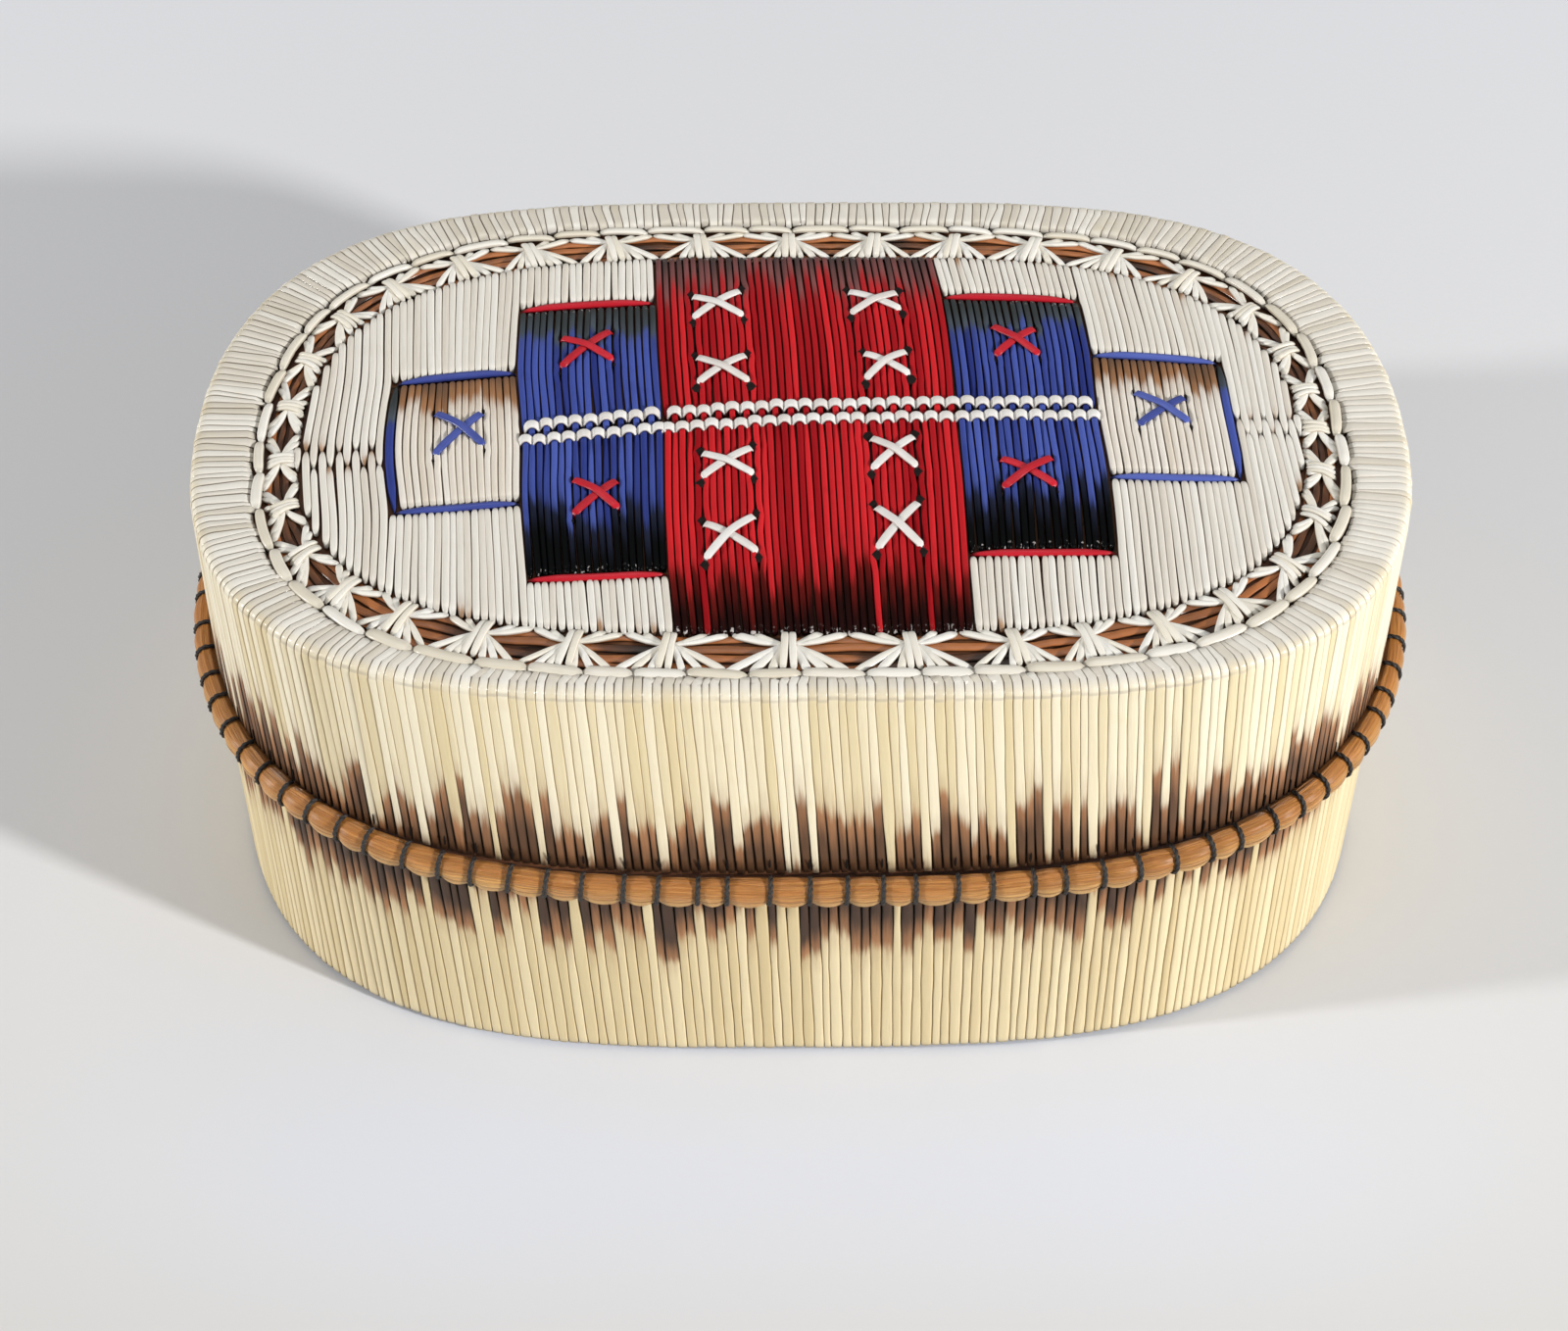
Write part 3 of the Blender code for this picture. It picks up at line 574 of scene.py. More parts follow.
def grass_material():
    """Dried sweetgrass: long blades in straw and orange tan with dark lines between them, painted highlights along
    some blades and a painted lighter lower side.
    """
    g = Graph("sweetgrass", 0.34, 0.45)
    g.shader.inputs["Coat Weight"].default_value = 0.25
    g.shader.inputs["Coat Roughness"].default_value = 0.38
    angle, run, tone = g.attribute("lie")
    blade = g.noise(g.joined(g.math("MULTIPLY", angle, 9.0), g.math("MULTIPLY", run, 0.035), tone), 1.0, 2.0)
    hair = g.noise(g.joined(g.math("MULTIPLY", angle, 40.0), g.math("MULTIPLY", run, 0.10), tone), 1.0, 3.0, 0.6)
    cloud = g.noise(g.place(), 90.0, 2.0)
    base = g.mix(g.smooth(blade, 0.32, 0.68), srgb(238, 178, 98), srgb(194, 123, 54))
    # Painted highlights: pale streaks along some blades.
    base = g.mix(g.math("MULTIPLY", g.smooth(blade, 0.60, 0.72), 0.6), base, srgb(242, 198, 134))
    base = g.mix(g.math("MULTIPLY", g.smooth(hair, 0.50, 0.70), 0.65), base, srgb(120, 68, 28))
    # Painted glints: thin light streaks along the hairs.
    base = g.mix(g.math("MULTIPLY", g.smooth(hair, 0.40, 0.28), 0.55), base, srgb(255, 222, 172))
    base = g.mix(g.math("MULTIPLY", g.smooth(cloud, 0.4, 0.75), 0.35), base, srgb(204, 134, 70))
    # The upper side of the bundle is darker orange; the lower side is painted lighter as a highlight.
    facing_up = g.math("SINE", angle)
    base = g.mix(g.math("MULTIPLY", g.smooth(facing_up, 0.2, 0.9), 0.5), base, srgb(198, 120, 48))
    base = g.mix(g.math("MULTIPLY", g.smooth(facing_up, 0.3, -0.4), 0.55), base, srgb(250, 202, 124))
    g.color(base)
    g.rough(g.math("ADD", 0.26, g.math("MULTIPLY", hair, 0.2)))
    g.bump(g.math("ADD", g.math("MULTIPLY", hair, 0.9), blade), 0.3)
    return g.mat


def thread_material():
    """Waxed black thread of two plies, with lint along it."""
    g = Graph("thread", 0.62, 0.4)
    across, run, tone = g.attribute("lie")
    lint = g.noise(g.joined(g.math("MULTIPLY", across, 3.0), g.math("MULTIPLY", run, 2.2), g.math("MULTIPLY", tone, 31.0)), 1.0, 3.0, 0.7)
    g.color(g.mix(g.smooth(lint, 0.35, 0.75), srgb(22, 20, 19), srgb(74, 70, 66)))
    g.rough(g.math("ADD", 0.5, g.math("MULTIPLY", lint, 0.25)))
    g.bump(lint, 0.08)
    return g.mat


def hole_material():
    """The dark inside of an awl hole: painted shade, a near-black patch."""
    g = Graph("awl_hole", 0.8, 0.2)
    grain = g.noise(g.place(), 1500.0, 2.0)
    g.color(g.mix(grain, srgb(12, 9, 8), srgb(30, 20, 16)))
    g.bump(grain, 0.1)
    return g.mat


def floor_material():
    """Pale seamless paper, with painted light in patches where it is lit unevenly."""
    g = Graph("studio_paper", 0.85, 0.2)
    cloud = g.noise(g.place(), 6.0, 3.0)
    tooth = g.noise(g.place(), 900.0, 2.0)
    base = g.mix(g.math("MULTIPLY", cloud, 0.6), srgb(219, 219, 220), srgb(214, 214, 214))
    x, y, _ = g.parts(g.place())
    # Painted light: lighter towards the back, a bluer patch just in front of the box, and greyer further forward.
    base = g.mix(g.smooth(y, -0.15, 0.35), base, srgb(227, 228, 232))
    forward = g.math("MULTIPLY", y, -1.0)
    inside = g.math("SUBTRACT", 1.0, g.smooth(g.math("ABSOLUTE", x), 0.04, 0.13))
    base = g.mix(g.math("MULTIPLY", g.smooth(forward, 0.02, 0.065), inside), base, srgb(221, 225, 235))
    g.color(g.mix(g.smooth(forward, 0.075, 0.13), base, srgb(213, 211, 208)))
    g.rough(g.math("ADD", 0.8, g.math("MULTIPLY", tooth, 0.15)))
    g.bump(tooth, 0.05, 0.4)
    return g.mat


# Walls

def lean(share):
    """How far a lid quill's foot leans round the box, in millimetres: most on the front left."""
    turn = share * 2 * pi
    return 0.1 + 2.8 * np.cos(turn - radians(203)) + 0.9 * np.clip(np.cos(turn - radians(300)), 0, 1)


def meeting_shares(count, run):
    """Shares of the way round where neighbouring quills meet, wandering along their length."""
    number = np.arange(count)[:, None]
    uneven = rng.uniform(-0.15, 0.15, (count, 1))
    return (number + uneven + 0.10 * wave(run, 47.0, number * 1.7)) / count


def between(edges):
    """Paths half way between each quill's two edges, and its half width."""
    ahead = np.roll(edges, -1, axis=0)
    return (edges + ahead) / 2, np.linalg.norm(ahead - edges, axis=-1) / 2


def base_quills():
    around = MEASURES[JOINT][2]
    count = round(around / BASE_PITCH)
    run, taper = rounded_ends(np.full(count, 38.05), 16, 0.7, 0.55)
    height = 0.3 + run + rng.uniform(-0.1, 0.3, (count, 1)) * (1 - run / 38.05)
    share = meeting_shares(count, run)
    middle = share.mean(axis=1)
    place = share + BASE_LEAN * lean(share) * (JOINT_HEIGHT - height) / 38.0 / around
    inset = QUILL + 0 * run
    flat, normal = wall(FOOT, JOINT, height / JOINT_HEIGHT, place, inset)
    path, half = between(lifted(flat, height))
    group = wave(middle * count, 23.0, 3.0)
    depth = 12.2 + 2.4 * group + rng.normal(0.0, 2.4, count)
    depth = np.where(rng.random(count) < 0.15, rng.uniform(0.0, 5.0, count), depth)
    depth = depth * (1 - 0.45 * np.exp(-((middle * 2 * pi - 5.9) / 0.5) ** 2))
    half = half * taper * (1 - 0.14 * np.clip((height - 30.0) / 8.0, 0, 1))
    rise = QUILL * taper * rng.uniform(0.96, 1.0, (count, 1))
    row = row_of(path, half, rise, lifted(normal, 0.0), run,
                 start=38.0 - np.clip(depth, 0.5, 17.0), soft=rng.uniform(2.4, 4.6, count))
    # The brown tips deepen to dark brown at their top ends: the quills' own brown, darkened further as painted
    # shade under the rim.
    mat = quill_material("quill_base", (230, 213, 172), (212, 191, 144), (142, 100, 66), (70, 49, 34), gap=(160, 132, 90), streaks=0.35,
                         end_shade=0.6, specular=0.28)
    strips("base_quills_each", "base", [row], mat, ["base_quills"], 3.2, 0.58)


def lid_quills():
    """Quills of the lid: up the side, over the shoulder and in to the chain."""
    around = MEASURES[LID_TOP][2]
    count = round(around / LID_PITCH)
    side = np.linspace(42.6, WALL_TOP, 12)
    bend = np.linspace(0.0, pi / 2, 9)[1:]
    inward = 0.5 - 0.5 * np.cos(np.linspace(0.0, pi, 8))[1:]
    share = meeting_shares(count, side[None, :])
    paths, normals = [], []
    up = np.array([0.0, 0.0, 1.0])
    for height, meet in zip(side, share.T):
        level = np.full(count, (height - JOINT_HEIGHT) / (WALL_TOP - JOINT_HEIGHT))
        place = meet + lean(meet) * (WALL_TOP - height) / 28.0 / around
        flat, normal = wall(JOINT, LID_TOP, level, place, np.full(count, QUILL))
        paths.append(lifted(flat, height))
        normals.append(lifted(normal, 0.0))
    share = share[:, -1]
    top, outward = at_share(LID_TOP, share)
    for angle in bend:
        aside, above = cos(angle) ** FOLD, sin(angle) ** FOLD
        lean_out, lean_up = cos(angle) ** (2 - FOLD), sin(angle) ** (2 - FOLD)
        length = np.hypot(lean_out, lean_up)
        lean_out, lean_up = lean_out / length, lean_up / length
        inset = SHOULDER_RADIUS * (1 - aside) + QUILL * lean_out
        paths.append(lifted(top - outward * inset, WALL_TOP + SHOULDER_RADIUS * above - QUILL * lean_up))
        normals.append(lifted(outward * lean_out, lean_up))
    crown = top - outward * SHOULDER_RADIUS
    sideways = 0.45 * wave(share * count, 11.0, 3.0) + rng.uniform(-0.28, 0.28, count)
    turns, shares, _ = MEASURES[CHAIN_LINE]
    apart = np.linalg.norm(oval_points(CHAIN_LINE, turns)[None] - crown[:, None], axis=2)
    ahead = (shares[apart.argmin(axis=1)] - share + 0.5) % 1.0 - 0.5
    inner, inner_normal = at_share(CHAIN_LINE, share + STRAIGHT_IN * ahead + sideways / count)
    inner = inner + inner_normal
    for part in inward:
        dip = -0.45 * max(0.0, part - 0.9) / 0.1
        paths.append(lifted(crown * (1 - part) + inner * part, TOP_HEIGHT - QUILL + dip))
        normals.append(np.broadcast_to(up, (count, 3)))
    path, half = between(np.stack(paths, axis=1))
    normal = np.stack(normals, axis=1)
    draw_in = rng.uniform(-0.5, 0.35, (count, 1))
    path[:, -2:, :2] = path[:, -2:, :2] + (inner_normal * draw_in)[:, None]
    steps = np.linalg.norm(np.diff(path, axis=1), axis=2)
    run = np.concatenate([np.zeros((count, 1)), np.cumsum(steps, axis=1)], axis=1)
    crease = len(side) + 1
    run = run[:, crease:crease + 1] - run + rng.uniform(-0.15, 0.15, (count, 1))
    low = np.clip((path[..., 2] - 43.2) / 9.0, 0, 1)
    half = half * (0.80 + 0.20 * low)
    half[:, -1] = half[:, -1] * 0.55
    half[:, -2] = half[:, -2] * 0.97
    rise = QUILL * rng.uniform(0.90, 1.03, (count, 1)) + 0 * half
    rise[:, -1] = 0.35
    rise[:, -2] = 0.8
    rise[:, crease] = rise[:, crease] - rng.uniform(0.0, 0.12, count)
    number = share * count
    group = wave(number, 31.0, 1.0) + 0.5 * wave(number, 9.0, 5.0)
    depth = 10.8 + 2.6 * group + rng.normal(0.0, 2.6, count)
    depth = np.where(rng.random(count) < 0.15, rng.uniform(0.0, 4.0, count), depth)
    start = run[:, 0] - np.clip(depth, 0.2, 18.0)
    row = row_of(path, half, rise, normal, run, start=start, soft=rng.uniform(2.2, 4.6, count))
    mat = quill_material("quill_lid", (240, 230, 203), (220, 202, 158), (140, 99, 68), (94, 66, 46), gap=(178, 152, 112), coat=0.4,
                         roughness=0.34, streaks=0.35, top=((237, 232, 222), (213, 204, 187)), end_shade=0.5, specular=0.28)
    strips("lid_quills_each", "lid", [row], mat, ["lid_side_quills", "lid_edge_quills"], 3.6, 0.76)


# Rim

def rim_section(count):
    angle = np.linspace(0.0, 2 * pi, count, endpoint=False)
    across = np.sign(np.cos(angle)) * np.abs(np.cos(angle)) ** 0.85
    height = np.sign(np.sin(angle)) * np.abs(np.sin(angle)) ** 0.85
    return angle, across, height


def tie_shares():
    """Where the thread binds the rim: near even places, with uneven lengths between."""
    return (np.arange(RIM_TIES) + rng.uniform(-0.13, 0.13, RIM_TIES)) / RIM_TIES


def rim_shape(share, ties, angle):
    """How far the bundle swells at a place, seen round its section: it bulges between ties."""
    around = MEASURES[JOINT][2]
    gap = np.abs((share[..., None] - ties + 0.5) % 1.0 - 0.5).min(axis=-1) * around
    pinch = np.exp(-(gap / 0.95) ** 2) + 0.55 * np.exp(-(gap / 2.3) ** 2)
    drop = np.clip(-np.sin(angle), 0, 1)
    front = np.clip(np.cos(angle), 0, 1)
    return 1 - pinch * (0.05 + 0.15 * drop + 0.12 * front)


def bundle_between(share, ties, values):
    """The value of the piece of the bundle, from one tie to the next, at each place round it."""
    return values[np.searchsorted(ties, share % 1.0) % len(ties)]


RIM_OUT = 1.12
RIM_HALF_DEPTH = 2.05
RIM_HALF_HEIGHT = 2.3


def rim_point(share, across, height, swell):
    flat, normal = at_share(JOINT, share)
    out = RIM_OUT + RIM_HALF_DEPTH * across * swell
    return lifted(flat + normal * out[..., None], RIM_MIDDLE + RIM_HALF_HEIGHT * height * swell)


def sweetgrass_rim(ties):
    """The bundle: blades run along it as shallow ridges that wander round its section."""
    length, corners = RIM_TIES * 12, 60
    angle, across, height = rim_section(corners)
    share = np.arange(length) / length
    s, a = np.meshgrid(share, angle, indexing="ij")
    swell = rim_shape(s, ties, a)
    drift = 0.5 * np.sin(s * 2 * pi * 7) + 0.3 * np.sin(s * 2 * pi * 19 + 1.0)
    drift = drift + bundle_between(s, ties, rng.uniform(-0.5, 0.5, RIM_TIES))
    ridge = np.abs(np.sin(6.5 * a + drift + 0.6 * np.sin(3 * a)))
    fine = np.sin(17 * a - drift * 2 + 2 * np.sin(s * 2 * pi * 31))
    plump = bundle_between(s, ties, rng.uniform(0.955, 1.0, RIM_TIES))
    swell = swell * plump * (0.955 + 0.045 * ridge + 0.008 * fine)
    points = rim_point(s, across[None, :], height[None, :], swell)
    number = np.arange(length * corners).reshape(length, corners)
    ahead, beside = np.roll(number, -1, axis=0), np.roll(number, -1, axis=1)
    both = np.roll(ahead, -1, axis=1)
    faces = np.stack([number, ahead, both, beside], axis=-1).reshape(-1, 4).tolist()
    lie = np.stack([a + 0.3 * drift, s * MEASURES[JOINT][2], 9.0 * plump], axis=-1).reshape(-1, 3)
    mesh_piece("sweetgrass_bundle", "lid", points.reshape(-1, 3), faces, {"lie": lie},
               grass_material(), ["rim_sweetgrass"])


def rim_thread(ties):
    """A loop of two-ply thread at each tie, from the awl hole above the rim round to below it."""
    steps = 40
    angle = np.linspace(radians(118), radians(-112), steps)
    across = np.sign(np.cos(angle)) * np.abs(np.cos(angle)) ** 0.85
    height = np.sign(np.sin(angle)) * np.abs(np.sin(angle)) ** 0.85
    around = MEASURES[JOINT][2]
    slant = rng.uniform(0.05, 0.5, RIM_TIES)[:, None]
    share = ties[:, None] + slant * (height[None, :] / 2) / around
    swell = rim_shape(ties[:, None] + 0 * share, ties, angle[None, :])
    flat, normal = at_share(JOINT, share)
    number = rng.uniform(0, pi, RIM_TIES)
    rows = []
    for ply in (0.0, pi):
        twist = np.linspace(0.0, 9.0 * pi, steps)[None, :] + ply + number[:, None]
        stand = 0.12 + 0.12 * np.sin(twist)
        slide = 0.15 * np.cos(twist) / around
        points = rim_point(share + slide, across[None, :], height[None, :], swell)
        out = np.cos(angle)[None, :, None] * lifted(normal, 0.0)
        out = out + np.sin(angle)[None, :, None] * np.array([0.0, 0.0, 1.0])
        rows.append(row_of(points + out * stand[..., None], 0.24, 0.32, out))
    strips("rim_thread", "lid", rows, thread_material(), (), 2.0)


def blob_rows(centres, length, width, rise, up=(0.0, 0.0, 1.0), along=(0.0, 1.0, 0.0)):
    """Short rounded dark patches, as strips of five stations."""
    centres = np.asarray(centres, float)
    along = np.broadcast_to(np.asarray(along, float), centres.shape)
    part = np.array([-1.0, -0.8, 0.0, 0.8, 1.0])
    path = centres[:, None] + along[:, None] * part[None, :, None] * length / 2
    taper = np.array([0.25, 0.75, 1.0, 0.75, 0.25])
    up = np.broadcast_to(np.asarray(up, float), centres.shape)[:, None]
    return row_of(path, width / 2 * taper, rise * taper, np.broadcast_to(up, path.shape))


def rim_holes(ties, mat):
    # Painted shade: short dark slits above the rim where the thread enters the wall.
    flat, normal = wall(JOINT, LID_TOP, np.full(RIM_TIES, 0.16), ties, np.full(RIM_TIES, 0.12))
    centres = lifted(flat, 44.2)
    row = blob_rows(centres, 2.6, 0.36, 0.16, lifted(normal, 0.0), (0.0, 0.0, 1.0))
    strips("rim_awl_holes", "lid", [row], mat, (), 2.2)


# Border

def laid_chain():
    around = MEASURES[CHAIN_LINE][2]
    share = np.arange(CHAIN_LINKS) / CHAIN_LINKS + rng.uniform(-0.12, 0.12, CHAIN_LINKS) / CHAIN_LINKS
    ends = np.append(share, share[0] + 1.0)
    length = np.diff(ends) * around
    run, taper = rounded_ends(length - 0.2, 12, 1.7, 0.22)
    place = share[:, None] + (run + 0.1) / around
    flat, normal = at_share(CHAIN_LINE, place)
    part = run / length[:, None] - 0.5
    sway = rng.uniform(-0.2, 0.5, (CHAIN_LINKS, 1)) * part * 2 + 0.12 * (1 - 4 * part ** 2)
    flat = flat + normal * sway[..., None]
    base = 72.1 - 0.5 * (2 * np.abs(part)) ** 6
    front = np.clip(-normal[..., 1], 0, 1)
    back = np.clip(normal[..., 1], 0, 1)
    width = (0.76 + 0.24 * front - 0.10 * back) * rng.uniform(0.9, 1.1, (CHAIN_LINKS, 1))
    row = row_of(lifted(flat, base), width * taper, (1.0 - 0.18 * back) * np.sqrt(taper))
    mat = quill_material("quill_chain", (240, 236, 227), (218, 208, 186), gap=(110, 88, 64), streaks=0.5)
    strips("chain_links", "lid", [row], mat, ["laid_quill_chain"], 2.9, 0.3)


def under_strips():
    """Flat brown strips laid round the box under the stars, seen through the windows."""
    rows = []
    for level in range(UNDER_ROWS):
        star = np.arange(STARS)[:, None] + np.linspace(0.02, 0.98, 9)[None, :]
        centre = (level + 0.5) / UNDER_ROWS
        bow = 0.10 * (centre - 0.5) * np.cos((star % 1.0 - 0.5) * 2 * pi)
        sway = 0.05 * wave(star, 3.1, level + 2.0)
        flat = border_point(star, centre + sway + bow)
        room = np.linalg.norm(border_point(star, 1.0) - border_point(star, 0.0), axis=-1) / UNDER_ROWS
        depth = 71.40 + 0.10 * (level % 2) + 0.08 * wave(star, 1.7, level)
        tone = 0.0 * STAR_GAPS if level == UNDER_ROWS - 1 else rng.uniform(0.1, 0.6, STARS)
        tone = tone + 0.4 * END_STARS
        width = room * rng.uniform(0.40, 0.47, (STARS, 1))
        rows.append(row_of(lifted(flat, depth), width, 0.42, tone=tone, start=rng.uniform(0, 18, STARS), soft=3.0))
    # The near-black gap colour paints deep shade between the brown strips.
    mat = quill_material("brown_strip", (180, 110, 60), (80, 50, 32), (92, 56, 34), (52, 38, 30),
                         gap=(10, 7, 6), roughness=0.24, gap_shade_depth=0.95, streaks=0.25, coat=0.25, specular=0.4)
    strips("border_under_strips", "lid", rows, mat, (), 2.6)


def star_arm(number, way, side, wide, level):
    """One quill of each star, from its hub to the border's outer edge (way 1) or inner one (-1)."""
    part = np.linspace(0.0, 1.0, 12)
    hub = HUBS[number, None]
    length = (1.07 - hub if way > 0 else hub) + rng.uniform(-0.05, 0.02, (len(number), 1))
    wide = wide + rng.uniform(-0.03, 0.02, (len(number), 1))
    flat = border_point(number[:, None] + side * (0.03 + (wide - 0.03) * part),
                        hub + way * length * part ** 1.2)
    height = 71.78 + 0.03 * level + 0.4 * (1 - part) ** 1.5
    taper = np.interp(part, [0.0, 0.15, 0.45, 0.85, 0.95, 1.0], [0.40, 0.55, 0.92, 1.0, 0.82, 0.45])
    half = np.clip(0.038 * STAR_GAPS[number, None], 0.54, 0.68) * rng.uniform(0.92, 1.1, (len(number), 1))
    return row_of(lifted(flat, height), half * taper, np.interp(part, [0.0, 0.85, 1.0], [0.5, 0.6, 0.3]),
                  tone=rng.random(len(number)) * 0.8)


def star_quills():
    """Each star: quills fanned from its hub to both edges, with radial ones laid over the hub."""
    every = np.arange(STARS)
    second = np.where(END_STARS, 0.38, 0.30)
    rows = []
    for way in (1, -1):
        far = every[(1 - HUBS if way > 0 else HUBS) > 0.5]
        for side in (1, -1):
            rows.append(star_arm(every, way, side, 0.50, 0))
            rows.append(star_arm(every, way, side, second[:, None], 2))
            rows.append(star_arm(far, way, side, 0.15, 4))
    step = np.linspace(-1.0, 1.0, 15)
    for number, sides, reach, wide in ((every[~END_STARS], (-0.46, 0.46), 1.0, 0.56),
                                       (every[END_STARS], (-0.72, 0.0, 0.72), 0.86, 0.46)):
        hub = HUBS[number, None]
        out = np.where(step < 0, hub, 1 - hub) * step * reach
        fanned = np.where(hub < 0.545, 1, -1) * step
        for side in sides:
            away = side * (1 + 0.5 * np.clip(fanned, 0, 1)) + rng.uniform(-0.15, 0.15, (len(number), 1))
            flat = border_point(number[:, None] + away / STAR_GAPS[number, None], hub + out)
            height = 71.95 + 0.62 * (1 - np.abs(step) ** 2.2) + rng.uniform(-0.08, 0.08, (len(number), 1))
            taper = np.interp(np.abs(step), [0.0, 0.5, 0.85, 1.0], [0.95, 1.0, 0.9, 0.4])
            rows.append(row_of(lifted(flat, height), wide * taper, 0.52 * np.sqrt(taper),
                               tone=0.3 + 0.7 * rng.random(len(number))))
    mat = quill_material("quill_star", (242, 239, 231), (234, 226, 208), gap=(150, 130, 106), streaks=0.3)
    strips("star_quills", "lid", rows, mat, ["star_border"], 3.0, 0.3)


# Panel

def panel_reach(u, sign):
    """How far in v each place of u reaches before the border, to the back or to the front."""
    v = sign * np.linspace(0.0, 60.0, 241)
    points = TO_BOX(np.stack(np.broadcast_arrays(np.asarray(u, float)[:, None], v), axis=-1))
    x, y = points[..., 0], points[..., 1] - PANEL_BOUND.shift
    value = np.abs(x / PANEL_BOUND.half_length) ** PANEL_BOUND.end_power
    value = value + np.abs(y / PANEL_BOUND.half_depth) ** PANEL_BOUND.side_power
    return v[np.argmax(value > 1.0, axis=1)]


def back_bound(u):
    return panel_reach(u, 1)


def front_bound(u):
    return panel_reach(u, -1)


HOLES = []
SLITS = []


def opened(u, v):
    """Quills pushed aside by the awl holes and by the stitches' slits between them."""
    shift = np.zeros(np.broadcast(u, v).shape)
    for hole_u, hole_v, size in HOLES:
        near = np.exp(-(((v - hole_v) / 0.8) ** 2)) * np.exp(-np.abs(u - hole_u) / 0.9)
        shift = shift + 0.45 * size * np.sign(u - hole_u) * near
    for slit_u, low, high in SLITS:
        inside = np.clip(1.2 - np.abs(v - (low + high) / 2) / ((high - low) / 2), 0, 0.25) * 4
        shift = shift + 0.08 * np.sign(u - slit_u) * inside * np.exp(-np.abs(u - slit_u) / 1.2)
    return shift


def field_row(u, front, back, half, rise=1.0, count=24, sink=None, aside=None, tip=0.75, **look):
    """Quills side by side across the panel, from front to back, dipping at both ends."""
    u = np.asarray(u, float)
    front = np.broadcast_to(front, u.shape)
    back = np.broadcast_to(back, u.shape)
    length = np.maximum(back - front, 0.8)
    run, taper = rounded_ends(length, count, tip, 0.3)
    v = front[:, None] + run
    place = u[:, None] + 0.06 * wave(v + u[:, None] * 0.35, 61.0, 2.0)
    place = place + rng.normal(0.0, 0.07, (len(u), 1)) * (run / length[:, None] * 2 - 1)
    if aside is not None:
        place = place + aside(u[:, None], v)
    place = place + opened(place, v)
    left = np.minimum(run, length[:, None] - run)
    base = PANEL_BASE - 0.3 * np.clip(1 - left / 0.9, 0, 1) ** 2
    if sink is not None:
        base = base - sink(u[:, None], v)
    height = rise * np.sqrt(taper) * (1 + rng.normal(0.0, 0.04, (len(u), 1)))
    path = on_panel(np.stack(np.broadcast_arrays(place, v, base), axis=-1))
    return row_of(path, half * taper, height, run=v, **look)


def spaced(left, right, pitch=FIELD_PITCH):
    count = max(1, round((right - left) / pitch))
    step = (right - left) / count
    return left + step * (np.arange(count) + 0.5), step


def colour_field(name, left, right, row, far, mat, replaced, dye):
    """Half a coloured field, whose quills every second time pass under a white wrap."""
    u, step = spaced(left, right)
    number = np.arange(len(u))
    raised = number % 2 == (0 if row == "front" else 1)
    if row == "front":
        near = np.where(raised, MIDLINE - WRAP_OFFSET + 0.75, MIDLINE - WRAP_OFFSET - 0.1)
        front, back = far(u), near
    else:
        near = np.where(raised, MIDLINE + WRAP_OFFSET - 2.1, MIDLINE + WRAP_OFFSET - 0.3)
        front, back = near, far(u)
    low = np.where(raised, 0.0, 0.3)

    def sink(_, v):
        return low[:, None] * np.exp(-((v - MIDLINE) / 7.0) ** 2)

    start, soft = dye(u, front, back)
    sign = 1.0 if row == "back" else -1.0
    half = step * rng.uniform(0.425, 0.475, (len(u), 1))
    built = field_row(u, front, back, half, sink=sink, start=start, soft=soft)
    built = built._replace(run=built.run * sign)
    strips(name, "lid", [built], mat, replaced, 2.9, 0.4)
    return u[raised]


def square_bow(u, v):
    """End squares widen at their middle, most at their outer edge, and push what lies past it."""
    share = np.clip((np.abs(u) - BLUE_HALF) / (SQUARE_HALF - BLUE_HALF), 0, 1)
    share = share * np.exp(-np.clip(np.abs(u) - SQUARE_HALF - 1.5, 0, None) / 4.0)
    return np.sign(u) * SQUARE_BOW * share * np.clip(1 - (v / SQUARE_DEPTH) ** 2, 0, 1)


def wraps(name, places, row, mat, replaced):
    """Small white quills arched over the raised quills' ends, their legs to the front."""
    places = np.sort(np.concatenate(places))
    turn = np.linspace(radians(182), radians(-2), 13)
    high = np.sin(turn)
    reach = rng.uniform(0.80, 0.95, (len(places), 1))
    u = places[:, None] + reach * np.sign(np.cos(turn)) * np.abs(np.cos(turn)) ** 0.85
    u = u + rng.uniform(-0.08, 0.08, (len(places), 1))
    middle = MIDLINE + (WRAP_OFFSET if row == "back" else -WRAP_OFFSET)
    v = middle - 0.75 + 0.95 * high + rng.uniform(-0.2, 0.2, (len(places), 1))
    z = PANEL_BASE + 0.2 + 0.92 * np.clip(high, -0.25, 1) + rng.uniform(-0.05, 0.05, (len(places), 1))
    out = np.stack(np.broadcast_arrays(np.cos(turn)[None, :], 0.0 * u, high + 0.25), axis=-1)
    path = on_panel(np.stack(np.broadcast_arrays(u, v, z), axis=-1))
    half = 0.86 * np.interp(high, [-0.1, 0.1, 0.6, 1.0], [0.25, 0.5, 0.9, 1.0])
    row_made = row_of(path, half, 0.34, out)
    strips(name, "lid", [row_made], mat, replaced, 3.0, 0.3)


